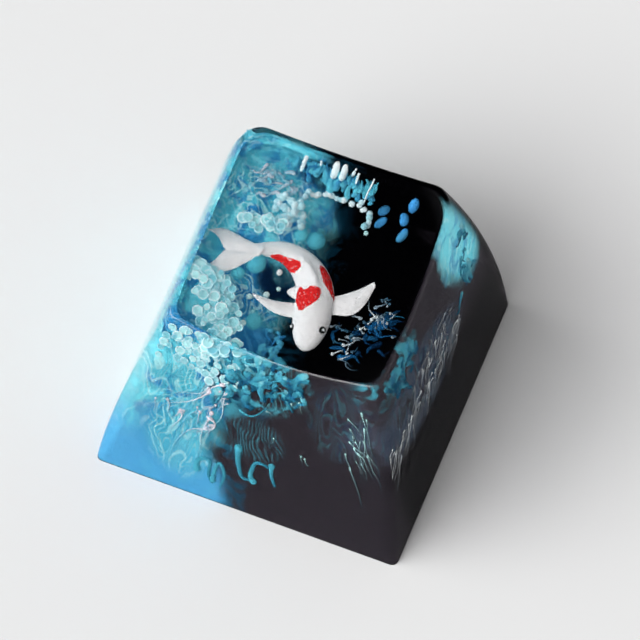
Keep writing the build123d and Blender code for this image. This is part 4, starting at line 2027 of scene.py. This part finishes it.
@dataclass
class Studio:
    """Paper floor, soft light from the left and the camera."""

    azimuth: float = math.radians(21.74)
    elevation: float = math.radians(61.06)
    distance: float = 0.2058
    lens: float = 205.7
    aim: tuple[float, float, float] = (0.00087, 0.0005, 0.006)
    key_way: tuple[float, float, float] = (-0.54, -0.44, 0.72)
    dark_way: tuple[float, float, float] = (-0.16, 0.03, 0.986)
    key_edge: float = 0.69
    dark_edges: tuple[float, float] = (0.91, 0.82)
    key_level: float = 5.75
    fill_level: float = 0.26
    least_level: float = 0.004
    floor_half: float = 900.0

    def floor(self) -> bpy.types.Object:
        """Flat sheet under the rim."""
        side = self.floor_half
        points = np.array([[-side, -side, 0.0], [side, -side, 0.0], [side, side, 0.0], [-side, side, 0.0]])
        sheet = Surface(points, np.array([[0, 1, 2, 3]]), NO_TRIS, np.ones((4, 3)), np.zeros(4))
        made = sheet.build("paper_floor", FloorPaper().material())
        return made

    def world(self) -> None:
        """Pale surroundings with one broad soft light at the front left, dark where the dish mirrors them."""
        made = bpy.data.worlds.new("studio_surroundings")
        bpy.context.scene.world = made
        shader = Shader(made)
        way = shader.node("TexCoord", {}, {}, "Generated")
        across, along, up = shader.split(way)
        towards, mirrored = (across * x + along * y + up * z for x, y, z in (self.key_way, self.dark_way))
        light = self.fill_level + self.key_level * towards.step(self.key_edge, 1.0)
        level = mirrored.step(*self.dark_edges) * light + self.least_level
        tone = shader.node("CombineColor", {}, {0: level, 1: level, 2: level})
        back = shader.raw("Background", {}, {"Color": tone, "Strength": 1.0})
        shader.raw("OutputWorld", {}, {"Surface": back.outputs[0]})

    def camera(self) -> bpy.types.Object:
        """Long lens at the photograph's angle."""
        flat = math.cos(self.elevation)
        right = np.array([math.cos(self.azimuth), math.sin(self.azimuth), 0.0])
        back = np.array([flat * right[1], -flat * right[0], math.sin(self.elevation)])
        up = np.cross(back, right)
        target = np.array([0.0, 0.0, self.aim[2]]) + self.aim[0] * right + self.aim[1] * up
        lens = bpy.data.cameras.new("camera")
        lens.lens = self.lens
        lens.sensor_width = 36.0
        lens.clip_start = 0.01
        made = bpy.data.objects.new("camera", lens)
        made.location = tuple(target + self.distance * back)
        made.rotation_euler = (math.pi / 2 - self.elevation, 0.0, self.azimuth)
        bpy.context.scene.collection.objects.link(made)
        bpy.context.scene.camera = made
        return made

    def make(self) -> None:
        """Sets the whole studio up."""
        self.floor()
        self.world()
        self.camera()


def main() -> None:
    """Builds every piece in order and reports it."""
    logging.basicConfig(level=logging.INFO, format="%(name)s: %(message)s")
    bpy.context.scene.view_settings.view_transform = "Standard"
    bpy.context.scene.cycles.denoising_input_passes = "RGB"
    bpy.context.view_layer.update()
    form = CapForm()
    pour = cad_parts["dyed_pour"]
    pour.data.materials.clear()
    pour.data.materials.append(DyedResin().material())
    LOG.info("dyed_pour: procedural swirl")
    parts = [
        ResinSkin(form), Koi(form), DyeFilm(form), CloudBank(form), Cells(form, 3),
        FrontThreads(form, 5), CloudKnobs(form, 6), SideStreaks(form, 8), TopStrands(form, 9),
    ]
    for part in parts:
        made = part.make()
        LOG.info("%s: %d faces", made.name, len(made.data.polygons))
    Studio().make()


if __name__ == "__main__":
    main()
